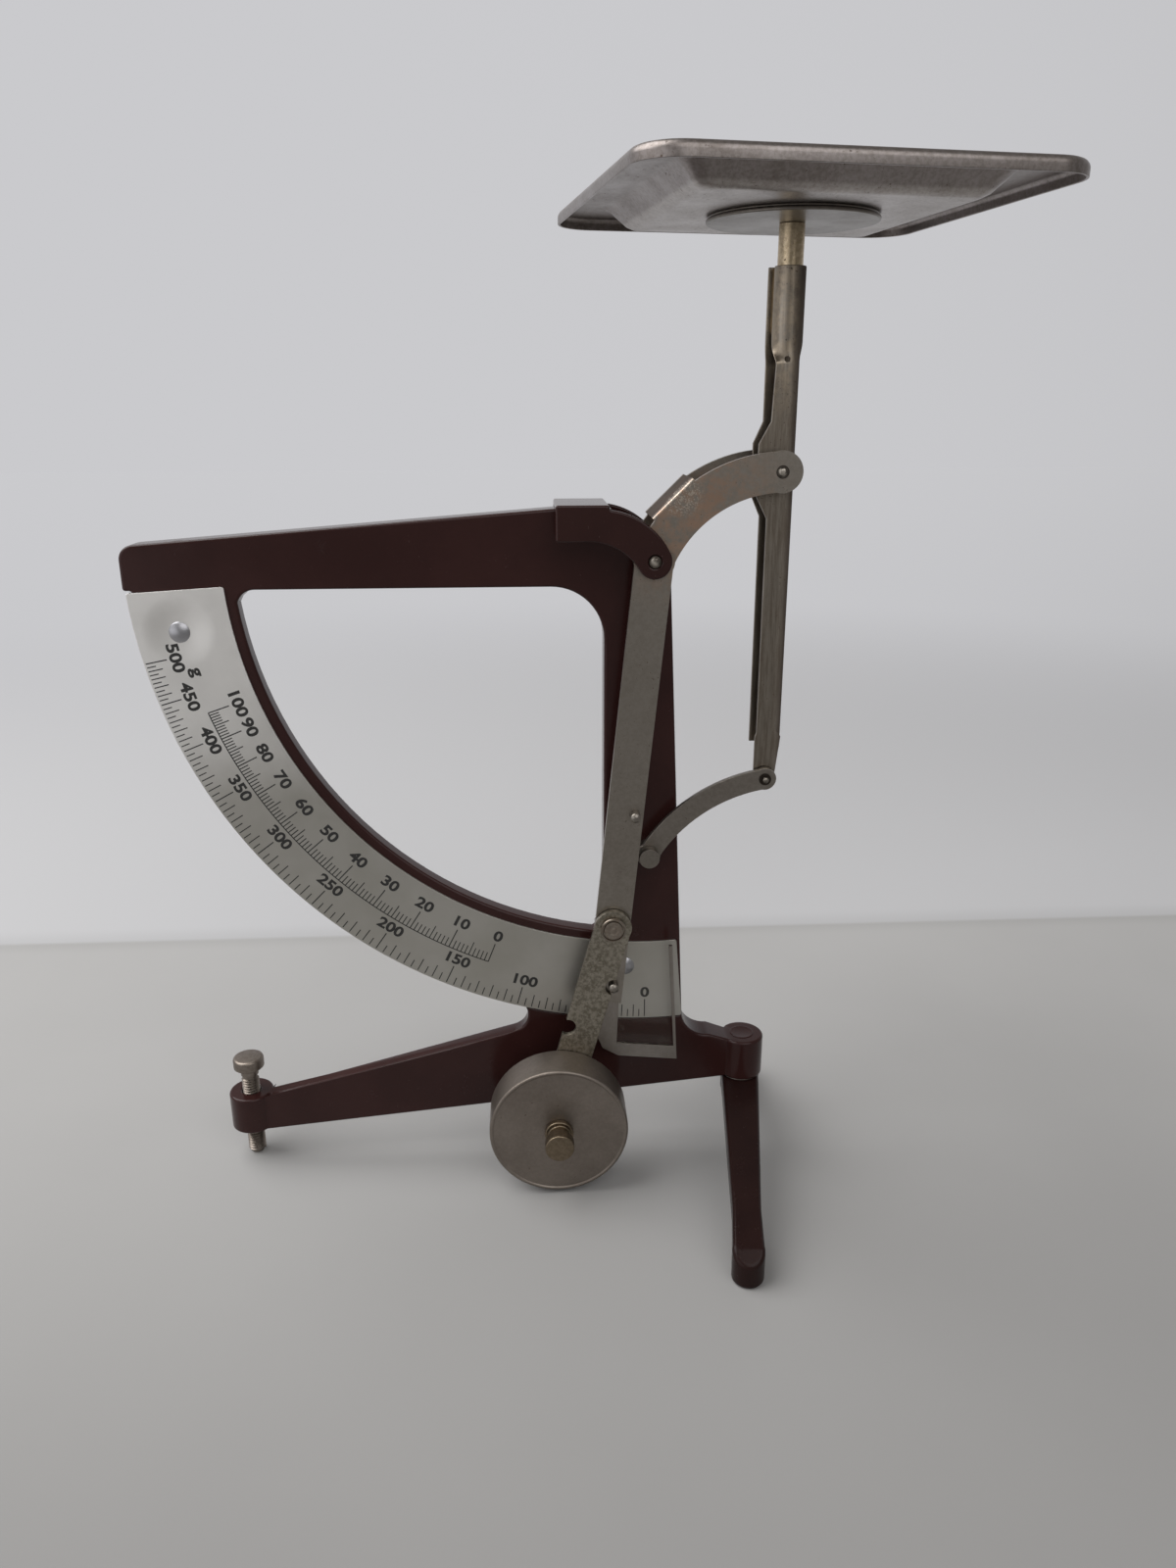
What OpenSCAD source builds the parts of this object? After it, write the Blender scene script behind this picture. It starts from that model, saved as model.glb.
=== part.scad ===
// Letter scale with a bent lever: a pendulum weight on a flip-over arm balances a tray that a
// parallelogram linkage keeps upright. Sizes are millimetres, +Z is up and the dial faces -Y.
// Inside the modules the main pivot is at x = 0, z = 0 and the printed face of the dial at y = 0.

/* [Dial] */
// Outer radius of the dial, from the main pivot
dial_r = 125.5; // [122:0.5:129]
// Width of the dial from its outer to its inner edge
dial_w = 23.1; // [20:0.1:26]
// Thickness of the dial sheet
dial_t = 0.6; // [0.4:0.1:1]
// Depth of the lip folded back round the outer edge
dial_lip = 2; // [1.2:0.1:4]
// Angle from the plumb line to the dial's upper left end
dial_left_angle = 86.6; // [84:0.1:86.8]
// Angle from the plumb line to the dial's lower right end
dial_right_angle = 4.7; // [4.5:0.1:5.5]
// Radius of the rivet heads on the dial
dial_rivet_head_r = 2.6; // [2.2:0.1:3.2]
// Radius of the rivet shanks in the casting
dial_rivet_r = 1.2; // [0.9:0.1:1.6]
// Distance of the upper rivet from the dial's outer edge
upper_rivet_inset = 10.6; // [8:0.1:13]
// Distance of the lower rivet from the dial's outer edge
lower_rivet_inset = 15.9; // [10:0.1:17]

/* [Frame casting] */
// Thickness of the casting, front to back
frame_t = 8; // [6.5:0.1:9.5]
// Thickness of the casting's arc and base arm, flush with its front
arc_t = 4.6; // [4.5:0.1:5.5]
// Width of the casting's rim that shows inside the dial
rim_w = 2.4; // [1.8:0.05:3]
// Set-back of the casting's arc behind the dial's outer edge
rim_setback = 1.1; // [0.9:0.1:1.6]
// Height of the beam's underside below the main pivot
beam_under = 7; // [6.5:0.1:8]
// Height of the beam's top above the main pivot at its corner block
beam_left_top = 3.8; // [3:0.1:4.5]
// Rise of the beam's top towards the column, in degrees
beam_rise = 4.2; // [3.5:0.1:4.8]
// Radius of the rounded upper left corner
corner_r = 3.6; // [2.5:0.1:5]
// Distance of the column's left edge from the main pivot
column_x = 11.3; // [10:0.1:13]
// Width of the column at its top
column_w = 16.1; // [15:0.1:17]
// Lean of the column's right edge, in degrees
column_lean = 2.6; // [1.5:0.1:3]
// Radius of the hole's upper right corner
hole_corner_r = 13; // [8:0.5:18]
// Radius of the hole's two small corners
hole_small_r = 4.5; // [2:0.1:6]
// Radius of the clearance cut round the main pivot
pivot_cut_r = 4.3; // [4:0.1:5]
// Drop from the dial's outer edge to the middle of the foot boss
boss_drop = 14.3; // [13:0.1:16]
// Distance of the foot boss to the right of the main pivot
foot_boss_x = 28.2; // [26:0.1:31]
// Radius of the foot boss
foot_boss_r = 6; // [5.2:0.1:7]
// Height of the foot boss
foot_boss_h = 12; // [10:0.1:13]
// Distance of the screw boss to the left of the main pivot
screw_boss_x = 110; // [104:0.5:116]
// Radius of the screw boss
screw_boss_r = 6; // [5.2:0.1:7]
// Height of the screw boss
screw_boss_h = 10.8; // [9:0.1:12]
// Step down from the foot boss to the screw boss, middle to middle
arm_fall = 12.8; // [10:0.1:14]
// Height of the base arm where it meets the screw boss
arm_tip_h = 8.7; // [7.5:0.1:9.5]
// Height of the base arm under the dial's corner
arm_root_h = 22.3; // [20:0.1:24]
// Radius of the notch between the dial arc and the base arm
notch_r = 5; // [4:0.1:6]

/* [Pivot bracket] */
// Thickness of the yoke's sheet
bracket_t = 1.5; // [1.2:0.1:2]
// Length of the yoke's strap along the beam
strap_w = 12.5; // [11:0.1:14]
// Distance of the strap's left edge from the main pivot
strap_x = 23.2; // [21:0.1:25]
// Radius of the yoke's rounded end at the main pivot
bracket_end_r = 4.1; // [3.5:0.1:4.6]
// Height of the seat pad above the main pivot
seat_z = 11.5; // [11:0.1:12.5]
// Radius of the main pivot pin
pivot_pin_r = 1.5; // [1.2:0.1:1.7]
// Wall of the spacer tube on the main pin
bush_wall = 1.45; // [1:0.05:1.6]
// Radius of the bracket screw's thread
bracket_screw_r = 1.5; // [1.2:0.1:1.9]
// Radius of the bracket screw's head
bracket_screw_head_r = 2.9; // [2.4:0.1:3.4]

/* [Lever] */
// Thickness of the lever's sheet
lever_t = 1.5; // [1.2:0.1:2]
// Gap between the casting's back and the lever's rear cheek
lever_back_gap = 0.5; // [0.3:0.1:1]
// Clear width between the lever's two cheeks
lever_clear = 14.6; // [14.3:0.1:15.6]
// Length of the upper arm, from the main pivot to the post's pin
upper_arm = 35.6; // [34:0.1:37]
// Angle between the lower and the upper arm
lever_bend = 130; // [128:0.5:132]
// Width of the lower arm
lever_w = 9.2; // [8.4:0.1:10]
// Distance of the lower arm's end inside the dial's outer edge
lever_short = 8.5; // [6:0.1:11]
// Radius of the lever's rounded end at the post's pin
lever_end_r = 4.8; // [4.7:0.1:5.2]
// Height of the upper arm's arch over the line between its two pivots
arch_rise = 5.3; // [4:0.1:6]
// Distance from the dial's inner edge to the weight arm's rivet
flip_inset = 7.9; // [6:0.1:10]
// Radius of the post's pin
post_pin_r = 1.5; // [1.2:0.1:1.7]

/* [Pointer window] */
// Thickness of the pointer frame's sheet
pointer_t = 1; // [0.8:0.1:1.2]
// Thickness of the reading pane
pane_t = 0.5; // [0.3:0.1:0.8]
// Width of the window's left bar at its foot
window_bar_w = 5.6; // [5.2:0.1:7]
// Height of the window's bottom bar
window_foot_h = 3.9; // [3:0.1:5]
// Width of the index strip
index_w = 1; // [0.8:0.1:1.6]
// Drop of the window below the dial's outer edge
window_drop = 9; // [8:0.1:10]
// Reach of the index strip's tip past the dial's inner edge
index_over = 1.3; // [0.5:0.1:2]
// Angle from the plumb line to the index strip's reading edge
index_angle = 3.2; // [2.9:0.1:3.6]
// Radius of the window's lower left corner
window_corner_r = 6; // [4:0.5:6.4]

/* [Flip-over weight] */
// Thickness of the weight arm
weight_arm_t = 1.5; // [1.2:0.1:2]
// Half width of the weight arm
weight_arm_half = 4.8; // [4.4:0.1:5.4]
// Distance from the rivet to the middle of the disc
weight_reach = 55.8; // [54:0.1:58]
// Angle of the weight arm to the lever's lower arm
weight_arm_angle = 9.8; // [9:0.1:11]
// Radius of the weight arm's rivet
flip_rivet_r = 2; // [1.6:0.1:2.4]
// Radius of the rivet's head
flip_rivet_head_r = 3.3; // [2.9:0.1:3.8]
// Radius of the disc
weight_r = 18.4; // [17:0.1:19]
// Thickness of the disc
weight_t = 10.7; // [10:0.1:12.5]
// Width of the disc's raised rim
weight_rim_w = 1.4; // [1.2:0.1:4]
// Depth of the disc's face below its rim
weight_dish = 0.3; // [0.2:0.1:2]
// Radius of the knob's end
knob_r = 3.8; // [3.4:0.1:4.4]
// Radius of the knob's neck
knob_neck_r = 2.7; // [2.2:0.1:3.1]
// Length of the knob in front of the disc
knob_len = 7.6; // [6.5:0.1:9]
// Radius of the stud that holds the knob and the disc on the arm
knob_stud_r = 2; // [1.6:0.1:2.1]
// Radius of the two stop pins
stop_pin_r = 1.3; // [1.1:0.1:1.5]
// Distance from the rivet to the lower stop pin
lower_stop_r = 17.2; // [16:0.1:19]
// Distance from the rivet to the upper stop pin
upper_stop_r = 31.1; // [29:0.1:32]

/* [Post] */
// Width of the post's channel along X
post_w = 6.7; // [6.2:0.1:7.2]
// Depth of the post's channel, front to back
post_d = 8; // [7.6:0.1:8.4]
// Thickness of the post's sheet
post_t = 0.9; // [0.8:0.1:1.1]
// Distance of the channel's closed side to the right of the post's pin
post_web_x = 4; // [3.8:0.1:4.4]
// Width that the ears add to the left, round the post's pin
post_ear = 2.2; // [1.8:0.1:2.4]
// Half height of the ears
post_ear_h = 11; // [9:0.5:13]
// Outer radius of the bends beside the channel's closed side
post_bend_r = 2; // [1.2:0.1:2.4]
// Distance of the tube's axis to the right of the post's pin
tube_x = 1.2; // [1:0.1:1.5]
// Outer radius of the tube at the post's top
tube_r = 3.7; // [3.6:0.05:4.1]
// Height of the tube's top above the post's pin
post_top = 44.3; // [42:0.5:47]
// Length of the tube
tube_len = 18.2; // [15:0.1:20]
// Distance from the post's pin down to the end of its channel
channel_drop = 68; // [62:0.5:69]
// Distance from the main pivot down to the link's frame pin
guide_len = 75.5; // [74:0.1:77]
// Width of the flat lug at the post's foot
lug_w = 5.4; // [5:0.1:6.4]

/* [Link] */
// Thickness of the link
link_t = 1.5; // [1.2:0.1:1.6]
// Width of the link
link_w = 5.4; // [4.8:0.1:6]
// Extra radius of the link's eyes
link_eye = 0.2; // [0.1:0.05:0.5]
// Height of the link's arch
link_rise = 4; // [3:0.1:5]
// Radius of the link's two pins
link_pin_r = 1.3; // [1.1:0.1:1.4]
// Radius of the frame pin's head, on which the lever rests
link_head_r = 2.6; // [2.3:0.1:2.8]
// Thickness of the link's spacer washer
link_washer_t = 0.5; // [0.4:0.1:0.7]

/* [Tray] */
// Side of the square tray
pan_w = 93; // [88:0.5:98]
// Corner radius of the tray
pan_corner_r = 10; // [7:0.5:13]
// Thickness of the tray's sheet
pan_t = 0.6; // [0.5:0.05:1]
// Depth of the rim turned down
pan_rim = 3.2; // [2.6:0.1:4]
// Width of the flat border inside the rim
pan_border = 11.5; // [9:0.5:14]
// Width of the slope down to the flat bottom
pan_slope = 4.6; // [3.5:0.1:6]
// Depth of the tray's hollow
pan_depth = 4.8; // [4.4:0.1:6]
// Turn of the tray on its stud
pan_turn = 8.4; // [0:0.1:9]
// Radius of the stud under the tray
stud_r = 2.9; // [2.7:0.05:3.1]
// Length of the stud that shows between the tube and the discs
stud_show = 8.8; // [7:0.1:10]
// Length of the stud inside the tube
stud_in = 14; // [10:0.5:16]
// Radius of the discs under the tray
disc_r = 19.3; // [17:0.1:22]
// Thickness of the lower disc
disc_t = 0.8; // [0.6:0.1:1.2]
// Thickness of the packing disc
packing_t = 0.6; // [0.5:0.1:1]

/* [Feet] */
// Clear height of the foot boss above the table
foot_clear = 21.4; // [19:0.1:24]
// Length of the cross foot's front leg, from its rivet
front_leg = 58.6; // [54:0.2:62]
// Length of the cross foot's rear leg, from its rivet
rear_leg = 30; // [28:0.2:40]
// Angle of the cross foot to the frame's square
foot_turn = 7.6; // [4:0.1:9]
// Radius of the cross foot's hub
foot_hub_r = 5.4; // [5:0.1:6]
// Thickness of the legs
leg_t = 5; // [4:0.1:6]
// Radius of the pads at the legs' ends
foot_pad_r = 4; // [3.4:0.1:4.6]
// Radius of the legs at their narrowest
leg_waist_r = 3.6; // [3:0.1:4.2]
// Height of the legs' upper face above the table at the pads
pad_top = 9.4; // [8:0.1:11]
// Radius of the rivet that holds the cross foot
foot_rivet_r = 2; // [1.6:0.1:2.4]
// Radius of the foot rivet's heads
foot_rivet_head_r = 3.3; // [2.9:0.1:3.8]
// Radius of the levelling screw's thread
level_r = 2.4; // [2.2:0.05:2.6]
// Radius of the levelling screw's head
level_head_r = 4.15; // [3.8:0.05:4.6]
// Height of the levelling screw's head
level_head_h = 3.2; // [2.8:0.1:3.8]
// Distance from the screw boss up to the levelling screw's head
level_up = 7.3; // [6.8:0.1:9]

/* [Fits] */
// Radial clearance of a pin in its running bore
run_fit = 0.05; // [0.03:0.01:0.08]
// Side clearance between flat moving faces
side_gap = 0.3; // [0.2:0.05:0.4]
// Height of the small domed and flat rivet heads
head_h = 1.2; // [0.9:0.1:1.5]

/* [Hidden] */
$fn = 64;

// Colours
lacquer = [0.2, 0.1, 0.09];
satin = [0.78, 0.77, 0.74];
plated = [0.6, 0.58, 0.55];
brassy = [0.62, 0.56, 0.45];

// How far a cutter runs past the face that it cuts
cut = 1;
// Radial clearance of a pin pressed into its seat
seat_fit = 0.02;
// End play beside a washer or a spacer
play = 0.1;
// Radial clearance at the link's foot rivet, where the closed linkage is open
open_fit = 0.1;

// Dial and casting
dial_in = dial_r - dial_w;
frame_y0 = dial_t;
frame_y1 = frame_y0 + frame_t;
frame_mid = (frame_y0 + frame_y1) / 2;
arc_out = dial_r - rim_setback;
arc_in = dial_in - rim_w;
corner_over = 0.7;
frame_left = -dial_r - corner_over;
beam_corner_x = -dial_r + 5;
rivet_angles = [81.6, 2.9];
rivet_radii = [dial_r - upper_rivet_inset, dial_r - lower_rivet_inset];
rivet_depth = 3;
thin_margin = 2;
seat_rise = 0.1;
column_cut_z = -5.1;
shoulder_r = 7.5;
shoulder_drop = 6.5;
shoulder_z = -dial_r - shoulder_drop;
boss_z = -dial_r - boss_drop;
boss_bottom = boss_z - foot_boss_h / 2;
screw_boss_z = boss_z - arm_fall;
screw_boss_top = screw_boss_z + screw_boss_h / 2;
screw_boss_bottom = screw_boss_z - screw_boss_h / 2;
arm_inset = 0.5;
arm_root_x = -dial_r * 0.287;
table_z = boss_bottom - foot_clear;

// Planes of the lever, the yoke, the post and the link, front to back
lever_rear_y0 = frame_y1 + lever_back_gap;
lever_rear_y1 = lever_rear_y0 + lever_t;
lever_front_y1 = lever_rear_y0 - lever_clear;
lever_front_y0 = lever_front_y1 - lever_t;
bracket_rear_y0 = lever_rear_y1 + side_gap;
bracket_rear_y1 = bracket_rear_y0 + bracket_t;
bracket_front_y1 = lever_front_y0 - side_gap;
bracket_front_y0 = bracket_front_y1 - bracket_t;
mid_y = (lever_front_y1 + lever_rear_y0) / 2;
post_y0 = mid_y - post_d / 2;
post_y1 = mid_y + post_d / 2;
link_y1 = post_y0 - link_washer_t - play;
link_y0 = link_y1 - link_t;
link_head_y1 = link_y0 - play;
link_head_y0 = lever_front_y0 - play;
pointer_y1 = lever_front_y1 + pointer_t;
pane_y1 = pointer_y1 + pane_t;
arm_y1 = lever_front_y0 - side_gap;
arm_y0 = arm_y1 - weight_arm_t;
stop_y0 = arm_y0 - head_h;
disc_y0 = arm_y0 - weight_t;

// Lower arm's length, and the place of the weight arm's rivet on it
lever_len = dial_r - lever_short;
flip_r = dial_in - flip_inset;

// The lever stands against the head of the link's frame pin
lever_lean = asin((link_head_r + side_gap + lever_w / 2) / guide_len);
upper_angle = lever_bend - 90 - lever_lean;
pin_a = upper_arm * [cos(upper_angle), sin(upper_angle)];
pin_c = [0, -guide_len];
pin_b = pin_c + pin_a;
arch_r = (pow(upper_arm / 2, 2) + pow(arch_rise, 2)) / (2 * arch_rise);
link_arch_r = (pow(upper_arm / 2, 2) + pow(link_rise, 2)) / (2 * link_rise);
bridge_angle = 23.2;
bridge_len = 12.8;
// How far the pivot's eye and the bridge stand past the arms' edges
hub_over = 0.3;

// A point on the lever's lower arm: s down the arm from the main pivot, t to its right
function on_lever(s, t) = [
    t * cos(lever_lean) - s * sin(lever_lean),
    -t * sin(lever_lean) - s * cos(lever_lean)
];
flip_pin = on_lever(flip_r, 0);
arm_lean = lever_lean + weight_arm_angle;
// A point on the weight arm: u from its rivet towards the disc, v to its right
function on_arm(u, v) = flip_pin + [
    v * cos(arm_lean) - u * sin(arm_lean),
    -v * sin(arm_lean) - u * cos(arm_lean)
];
disc_pin = on_arm(weight_reach, 0);
lower_stop = on_arm(sqrt(pow(lower_stop_r, 2) - pow(weight_arm_half, 2)), weight_arm_half);
upper_stop_t = 2.4;
upper_stop = on_lever(flip_r - sqrt(pow(upper_stop_r, 2) - pow(upper_stop_t, 2)), upper_stop_t);
notch_v = weight_arm_half - 0.9;
stop_notch_r = stop_pin_r + 0.9;
upper_notch = on_arm(sqrt(pow(upper_stop_r, 2) - pow(notch_v, 2)), -notch_v);
flip_travel = 180 + asin(upper_stop_t / upper_stop_r) - weight_arm_angle - asin(notch_v / upper_stop_r);

// Pointer window
window_bottom = -dial_r - window_drop;
window_top = -dial_in + index_over;
window_left = on_lever(lever_len, 0)[0] - 2;
window_bar_right = window_left + window_bar_w;
window_bar_flare = 1.1;
// Upper edge of the window's bottom bar, square to the lever
function window_sill(x) = window_bottom + window_foot_h - (x + index_w) * tan(lever_lean);
// The index strip's reading edge lies on a line through the main pivot
function index_edge(z) = -z * tan(index_angle);

// Post and tray
tube_bottom = post_top - tube_len;
stud_axis = [pin_a[0] + tube_x, mid_y];
disc_z = pin_a[1] + post_top + stud_show;
packing_z = disc_z + disc_t;
pan_z = packing_z + packing_t;
spigot_r = 2.4;
spigot_set = 0.05;
pan_half = pan_w / 2;
pan_reach = (pan_half - pan_corner_r) * (cos(pan_turn) + sin(pan_turn)) + pan_corner_r;

// Cross foot
foot_washer_t = 0.3;
foot_play = 0.05;
hub_top = boss_bottom - foot_washer_t - foot_play;
foot_pin = [foot_boss_x, frame_mid];
level_pin = [-screw_boss_x, frame_mid];

// The row's origin is the middle of the footprint, on the table
x_low = frame_left;
x_high = stud_axis[0] + pan_reach;
y_low = frame_mid - front_leg * cos(foot_turn) - foot_pad_r;
y_high = mid_y + pan_reach;
origin = [(x_low + x_high) / 2, (y_low + y_high) / 2, table_z];

// Points along an arc from angle a0 to a1 about c
function arc(c, r, a0, a1, n = 24) = [
    for (i = [0:n]) c + r * [cos(a0 + (a1 - a0) * i / n), sin(a0 + (a1 - a0) * i / n)]
];
// Height at x of the straight line through p and q
function line_z(p, q, x) = p[1] + (q[1] - p[1]) * (x - p[0]) / (q[0] - p[0]);
function reversed(list) = [for (i = [len(list) - 1:-1:0]) list[i]];

// Puts a piece drawn about the main pivot into the row's frame
module placed() {
    translate(-origin) children();
}

// Solid between y0 and y1 of an outline drawn in x and z
module slab(y0, y1) {
    translate([0, y1, 0]) rotate([90, 0, 0]) linear_extrude(y1 - y0) children();
}

// Round bar along Y through p
module rod(p, y0, y1, r) {
    translate([p[0], y1, p[1]]) rotate([90, 0, 0]) cylinder(h = y1 - y0, r = r);
}

// Tube along Y through p
module sleeve(p, y0, y1, r, bore) {
    difference() {
        rod(p, y0, y1, r);
        rod(p, y0 - cut, y1 + cut, bore);
    }
}

// Low domed rivet head along Y, growing from y towards side
module dome(p, y, side, r, h) {
    ball_r = (r * r + h * h) / (2 * h);
    intersection() {
        translate([p[0], y + side * (h - ball_r), p[1]]) sphere(r = ball_r);
        rod(p, min(y, y + side * h), max(y, y + side * h), r);
    }
}

// Strip of one width along an arc of radius r between two points, with round ends
module arched_strip(p, q, r, width) {
    d = q - p;
    half = norm(d) / 2;
    n = [d[1], -d[0]] / norm(d);
    c = (p + q) / 2 + n * sqrt(r * r - half * half);
    a0 = atan2(p[1] - c[1], p[0] - c[0]);
    a1 = atan2(q[1] - c[1], q[0] - c[0]);
    polygon(concat(arc(c, r + width / 2, a0, a1), reversed(arc(c, r - width / 2, a0, a1))));
}

// Concave web that fills an inside corner at p, growing towards sx and sz
module corner_web(p, sx, sz, r) {
    translate(p) difference() {
        translate([min(0, sx * r), min(0, sz * r)]) square(r);
        translate([sx * r, sz * r]) circle(r = r);
    }
}

// Line of the beam's top and the two lines of the base arm
beam_high = seat_z - seat_rise;
beam_high_x = beam_corner_x + (beam_high - beam_left_top) / tan(beam_rise);
function column_right(z) = column_w - column_x - z * tan(column_lean);
function arm_bottom(x) = line_z([foot_boss_x, boss_bottom + arm_inset], [-screw_boss_x, screw_boss_bottom], x);
arm_tip = [-screw_boss_x, screw_boss_bottom + arm_tip_h];
arm_root = [arm_root_x, arm_bottom(arm_root_x) + arm_root_h];
arm_slope = atan2(arm_root[1] - arm_tip[1], arm_root[0] - arm_tip[0]);

// Middle of the notch's circle, which touches the dial arc and the base arm
notch_normal = [-sin(arm_slope), cos(arm_slope)];
notch_along = [cos(arm_slope), sin(arm_slope)];
notch_line = arm_root + notch_r * notch_normal;
notch_dot = notch_line * notch_along;
notch_s = -notch_dot - sqrt(pow(notch_dot, 2) - notch_line * notch_line + pow(arc_out + notch_r, 2));
notch_c = notch_line + notch_s * notch_along;

module frame_outline() {
    difference() {
        union() {
            // Quarter disc behind the dial
            intersection() {
                circle(r = arc_out, $fn = 180);
                polygon([
                    [0, 0],
                    [frame_left, 0],
                    [frame_left, -dial_r],
                    2 * arc_out * [sin(dial_right_angle), -cos(dial_right_angle)]
                ]);
            }
            // Beam with its rounded end and the sloping corner over the column
            polygon(concat(
                [[frame_left, -beam_under]],
                reversed(arc([frame_left + corner_r, beam_left_top - corner_r], corner_r, 90 + beam_rise, 180, 8)),
                [
                    [beam_high_x, beam_high],
                    [-strap_x + strap_w + 1, beam_high],
                    [column_right(column_cut_z), column_cut_z],
                    [column_right(column_cut_z), -beam_under]
                ]
            ));
            // Seat pad under the yoke
            translate([-strap_x, 0]) square([strap_w, seat_z]);
            // Column
            polygon([
                [-column_x, -beam_under],
                [column_right(column_cut_z), column_cut_z],
                [column_right(shoulder_z), shoulder_z],
                [-column_x, shoulder_z]
            ]);
            // Base arm and the shoulder by the foot boss
            polygon([
                [-screw_boss_x, screw_boss_bottom],
                [foot_boss_x, boss_bottom + arm_inset],
                [foot_boss_x, boss_z + foot_boss_h / 2 - arm_inset],
                [foot_boss_x - foot_rivet_head_r - arm_inset, boss_z + foot_boss_h / 2 - arm_inset],
                [column_right(shoulder_z) + shoulder_r, shoulder_z],
                [0, shoulder_z],
                [0, -arc_in - rim_w],
                arc_out * notch_c / norm(notch_c),
                notch_c,
                notch_c - notch_r * notch_normal,
                arm_tip
            ]);
            // Web that rounds the inside corner of column and shoulder
            translate([0, shoulder_z]) polygon([
                [0, 0],
                [column_right(shoulder_z) + shoulder_r, 0],
                [column_right(shoulder_z) + shoulder_r, shoulder_r],
                [0, shoulder_r]
            ]);
        }
        translate(notch_c) circle(r = notch_r);
        translate([column_right(shoulder_z + shoulder_r) + shoulder_r, shoulder_z + shoulder_r])
            circle(r = shoulder_r);
        // Large hole between the beam, the column and the arc
        difference() {
            intersection() {
                circle(r = arc_in, $fn = 180);
                translate([-dial_r, -dial_r]) square([dial_r - column_x, dial_r - beam_under]);
            }
            corner_web([-column_x, -beam_under], -1, -1, hole_corner_r);
            corner_web([-sqrt(pow(arc_in, 2) - pow(beam_under, 2)), -beam_under], 1, -1, hole_small_r);
            corner_web([-column_x, -sqrt(pow(arc_in, 2) - pow(column_x, 2))], -1, 1, hole_small_r);
        }
        circle(r = pivot_cut_r);
    }
}

// Area of the casting left of the column and below the beam, with a margin round both
module thin_area() {
    thin_right = -column_x - thin_margin;
    thin_top = -beam_under - thin_margin;
    thin_bottom = boss_bottom - boss_drop;
    translate([frame_left - cut, thin_bottom])
        square([thin_right - frame_left + cut, thin_top - thin_bottom]);
}

bracket_screw_pin = [-strap_x + strap_w / 2, seat_z - bracket_screw_head_r - 0.6];

module frame() color(lacquer) placed() difference() {
    union() {
        difference() {
            slab(frame_y0, frame_y1) frame_outline();
            // The arc and the base arm are thinner and open behind
            slab(frame_y0 + arc_t, frame_y1 + cut) thin_area();
        }
        translate([foot_pin[0], foot_pin[1], boss_bottom]) cylinder(h = foot_boss_h, r = foot_boss_r);
        translate([level_pin[0], level_pin[1], screw_boss_bottom]) cylinder(h = screw_boss_h, r = screw_boss_r);
        rod(bracket_screw_pin, frame_y1 - cut, bracket_rear_y0, bracket_screw_head_r);
    }
    translate([foot_pin[0], foot_pin[1], boss_bottom - cut])
        cylinder(h = foot_boss_h + 2 * cut, r = foot_rivet_r + seat_fit);
    translate([level_pin[0], level_pin[1], screw_boss_bottom - cut])
        cylinder(h = screw_boss_h + 2 * cut, r = level_r + run_fit);
    for (i = [0:1])
        rod(dial_rivet_pin(i), frame_y0 - cut, frame_y0 + rivet_depth, dial_rivet_r + seat_fit);
    // Groove that takes the dial's lip where the casting runs on past the arc
    slab(frame_y0 - cut, dial_lip + side_gap) dial_ring(dial_r + side_gap, arc_out);
    rod(pin_c, frame_y0 - cut, frame_mid, link_pin_r + seat_fit);
    rod(bracket_screw_pin, frame_mid, bracket_rear_y0 + cut, bracket_screw_r + seat_fit);
}

function dial_rivet_pin(i) = -rivet_radii[i] * [sin(rivet_angles[i]), cos(rivet_angles[i])];

// Sector from the dial's right end to its left end
module dial_sector(r) {
    a0 = -90 - dial_left_angle;
    a1 = -90 + dial_right_angle;
    polygon(concat([[0, 0]], [for (i = [0:6]) 1.2 * r * [cos(a0 + (a1 - a0) * i / 6), sin(a0 + (a1 - a0) * i / 6)]]));
}

module dial_ring(r_out, r_in) {
    intersection() {
        difference() {
            circle(r = r_out, $fn = 180);
            circle(r = r_in, $fn = 180);
        }
        dial_sector(r_out);
    }
}

module dial_plate() color(satin) placed() difference() {
    union() {
        slab(0, dial_t) dial_ring(dial_r, dial_in);
        slab(0, dial_lip) dial_ring(dial_r, dial_r - dial_t);
    }
    for (i = [0:1]) rod(dial_rivet_pin(i), -cut, dial_t + cut, dial_rivet_r + seat_fit);
}

module dial_rivets() color(plated) placed() {
    for (i = [0:1]) {
        dome(dial_rivet_pin(i), 0, -1, dial_rivet_head_r, head_h * 0.7);
        rod(dial_rivet_pin(i), 0, frame_y0 + rivet_depth, dial_rivet_r);
    }
}

// Yoke cheek: the strap's side and an arched horn down to the main pivot
horn_shift = 1.8;
horn_step = 1;
cheek_drop = 8.3;
strap_top = seat_z + bracket_t;
strap_right = -strap_x + strap_w;
horn_x = strap_right - horn_shift;
horn_top = strap_top - horn_step;
horn_r = (pow(horn_x, 2) + pow(horn_top, 2) - pow(bracket_end_r, 2)) / (2 * (horn_top - bracket_end_r));
horn_c = [horn_x, horn_top - horn_r];
under_x = strap_right - 4.9;
under_z = strap_top - cheek_drop;
under_r = (pow(under_x, 2) + pow(under_z, 2) - pow(bracket_end_r, 2)) / (2 * (under_z + bracket_end_r));
under_c = [under_x, under_z - under_r];

module bracket_cheek() {
    polygon(concat(
        [[-strap_x, strap_top], [-strap_x, under_z]],
        arc(under_c, under_r, 90, atan2(-under_c[1], -under_c[0]), 10),
        arc(horn_c, horn_r, atan2(-horn_c[1], -horn_c[0]), acos(horn_shift / horn_r), 14),
        [[strap_right, strap_top]]
    ));
    circle(r = bracket_end_r);
}

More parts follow.
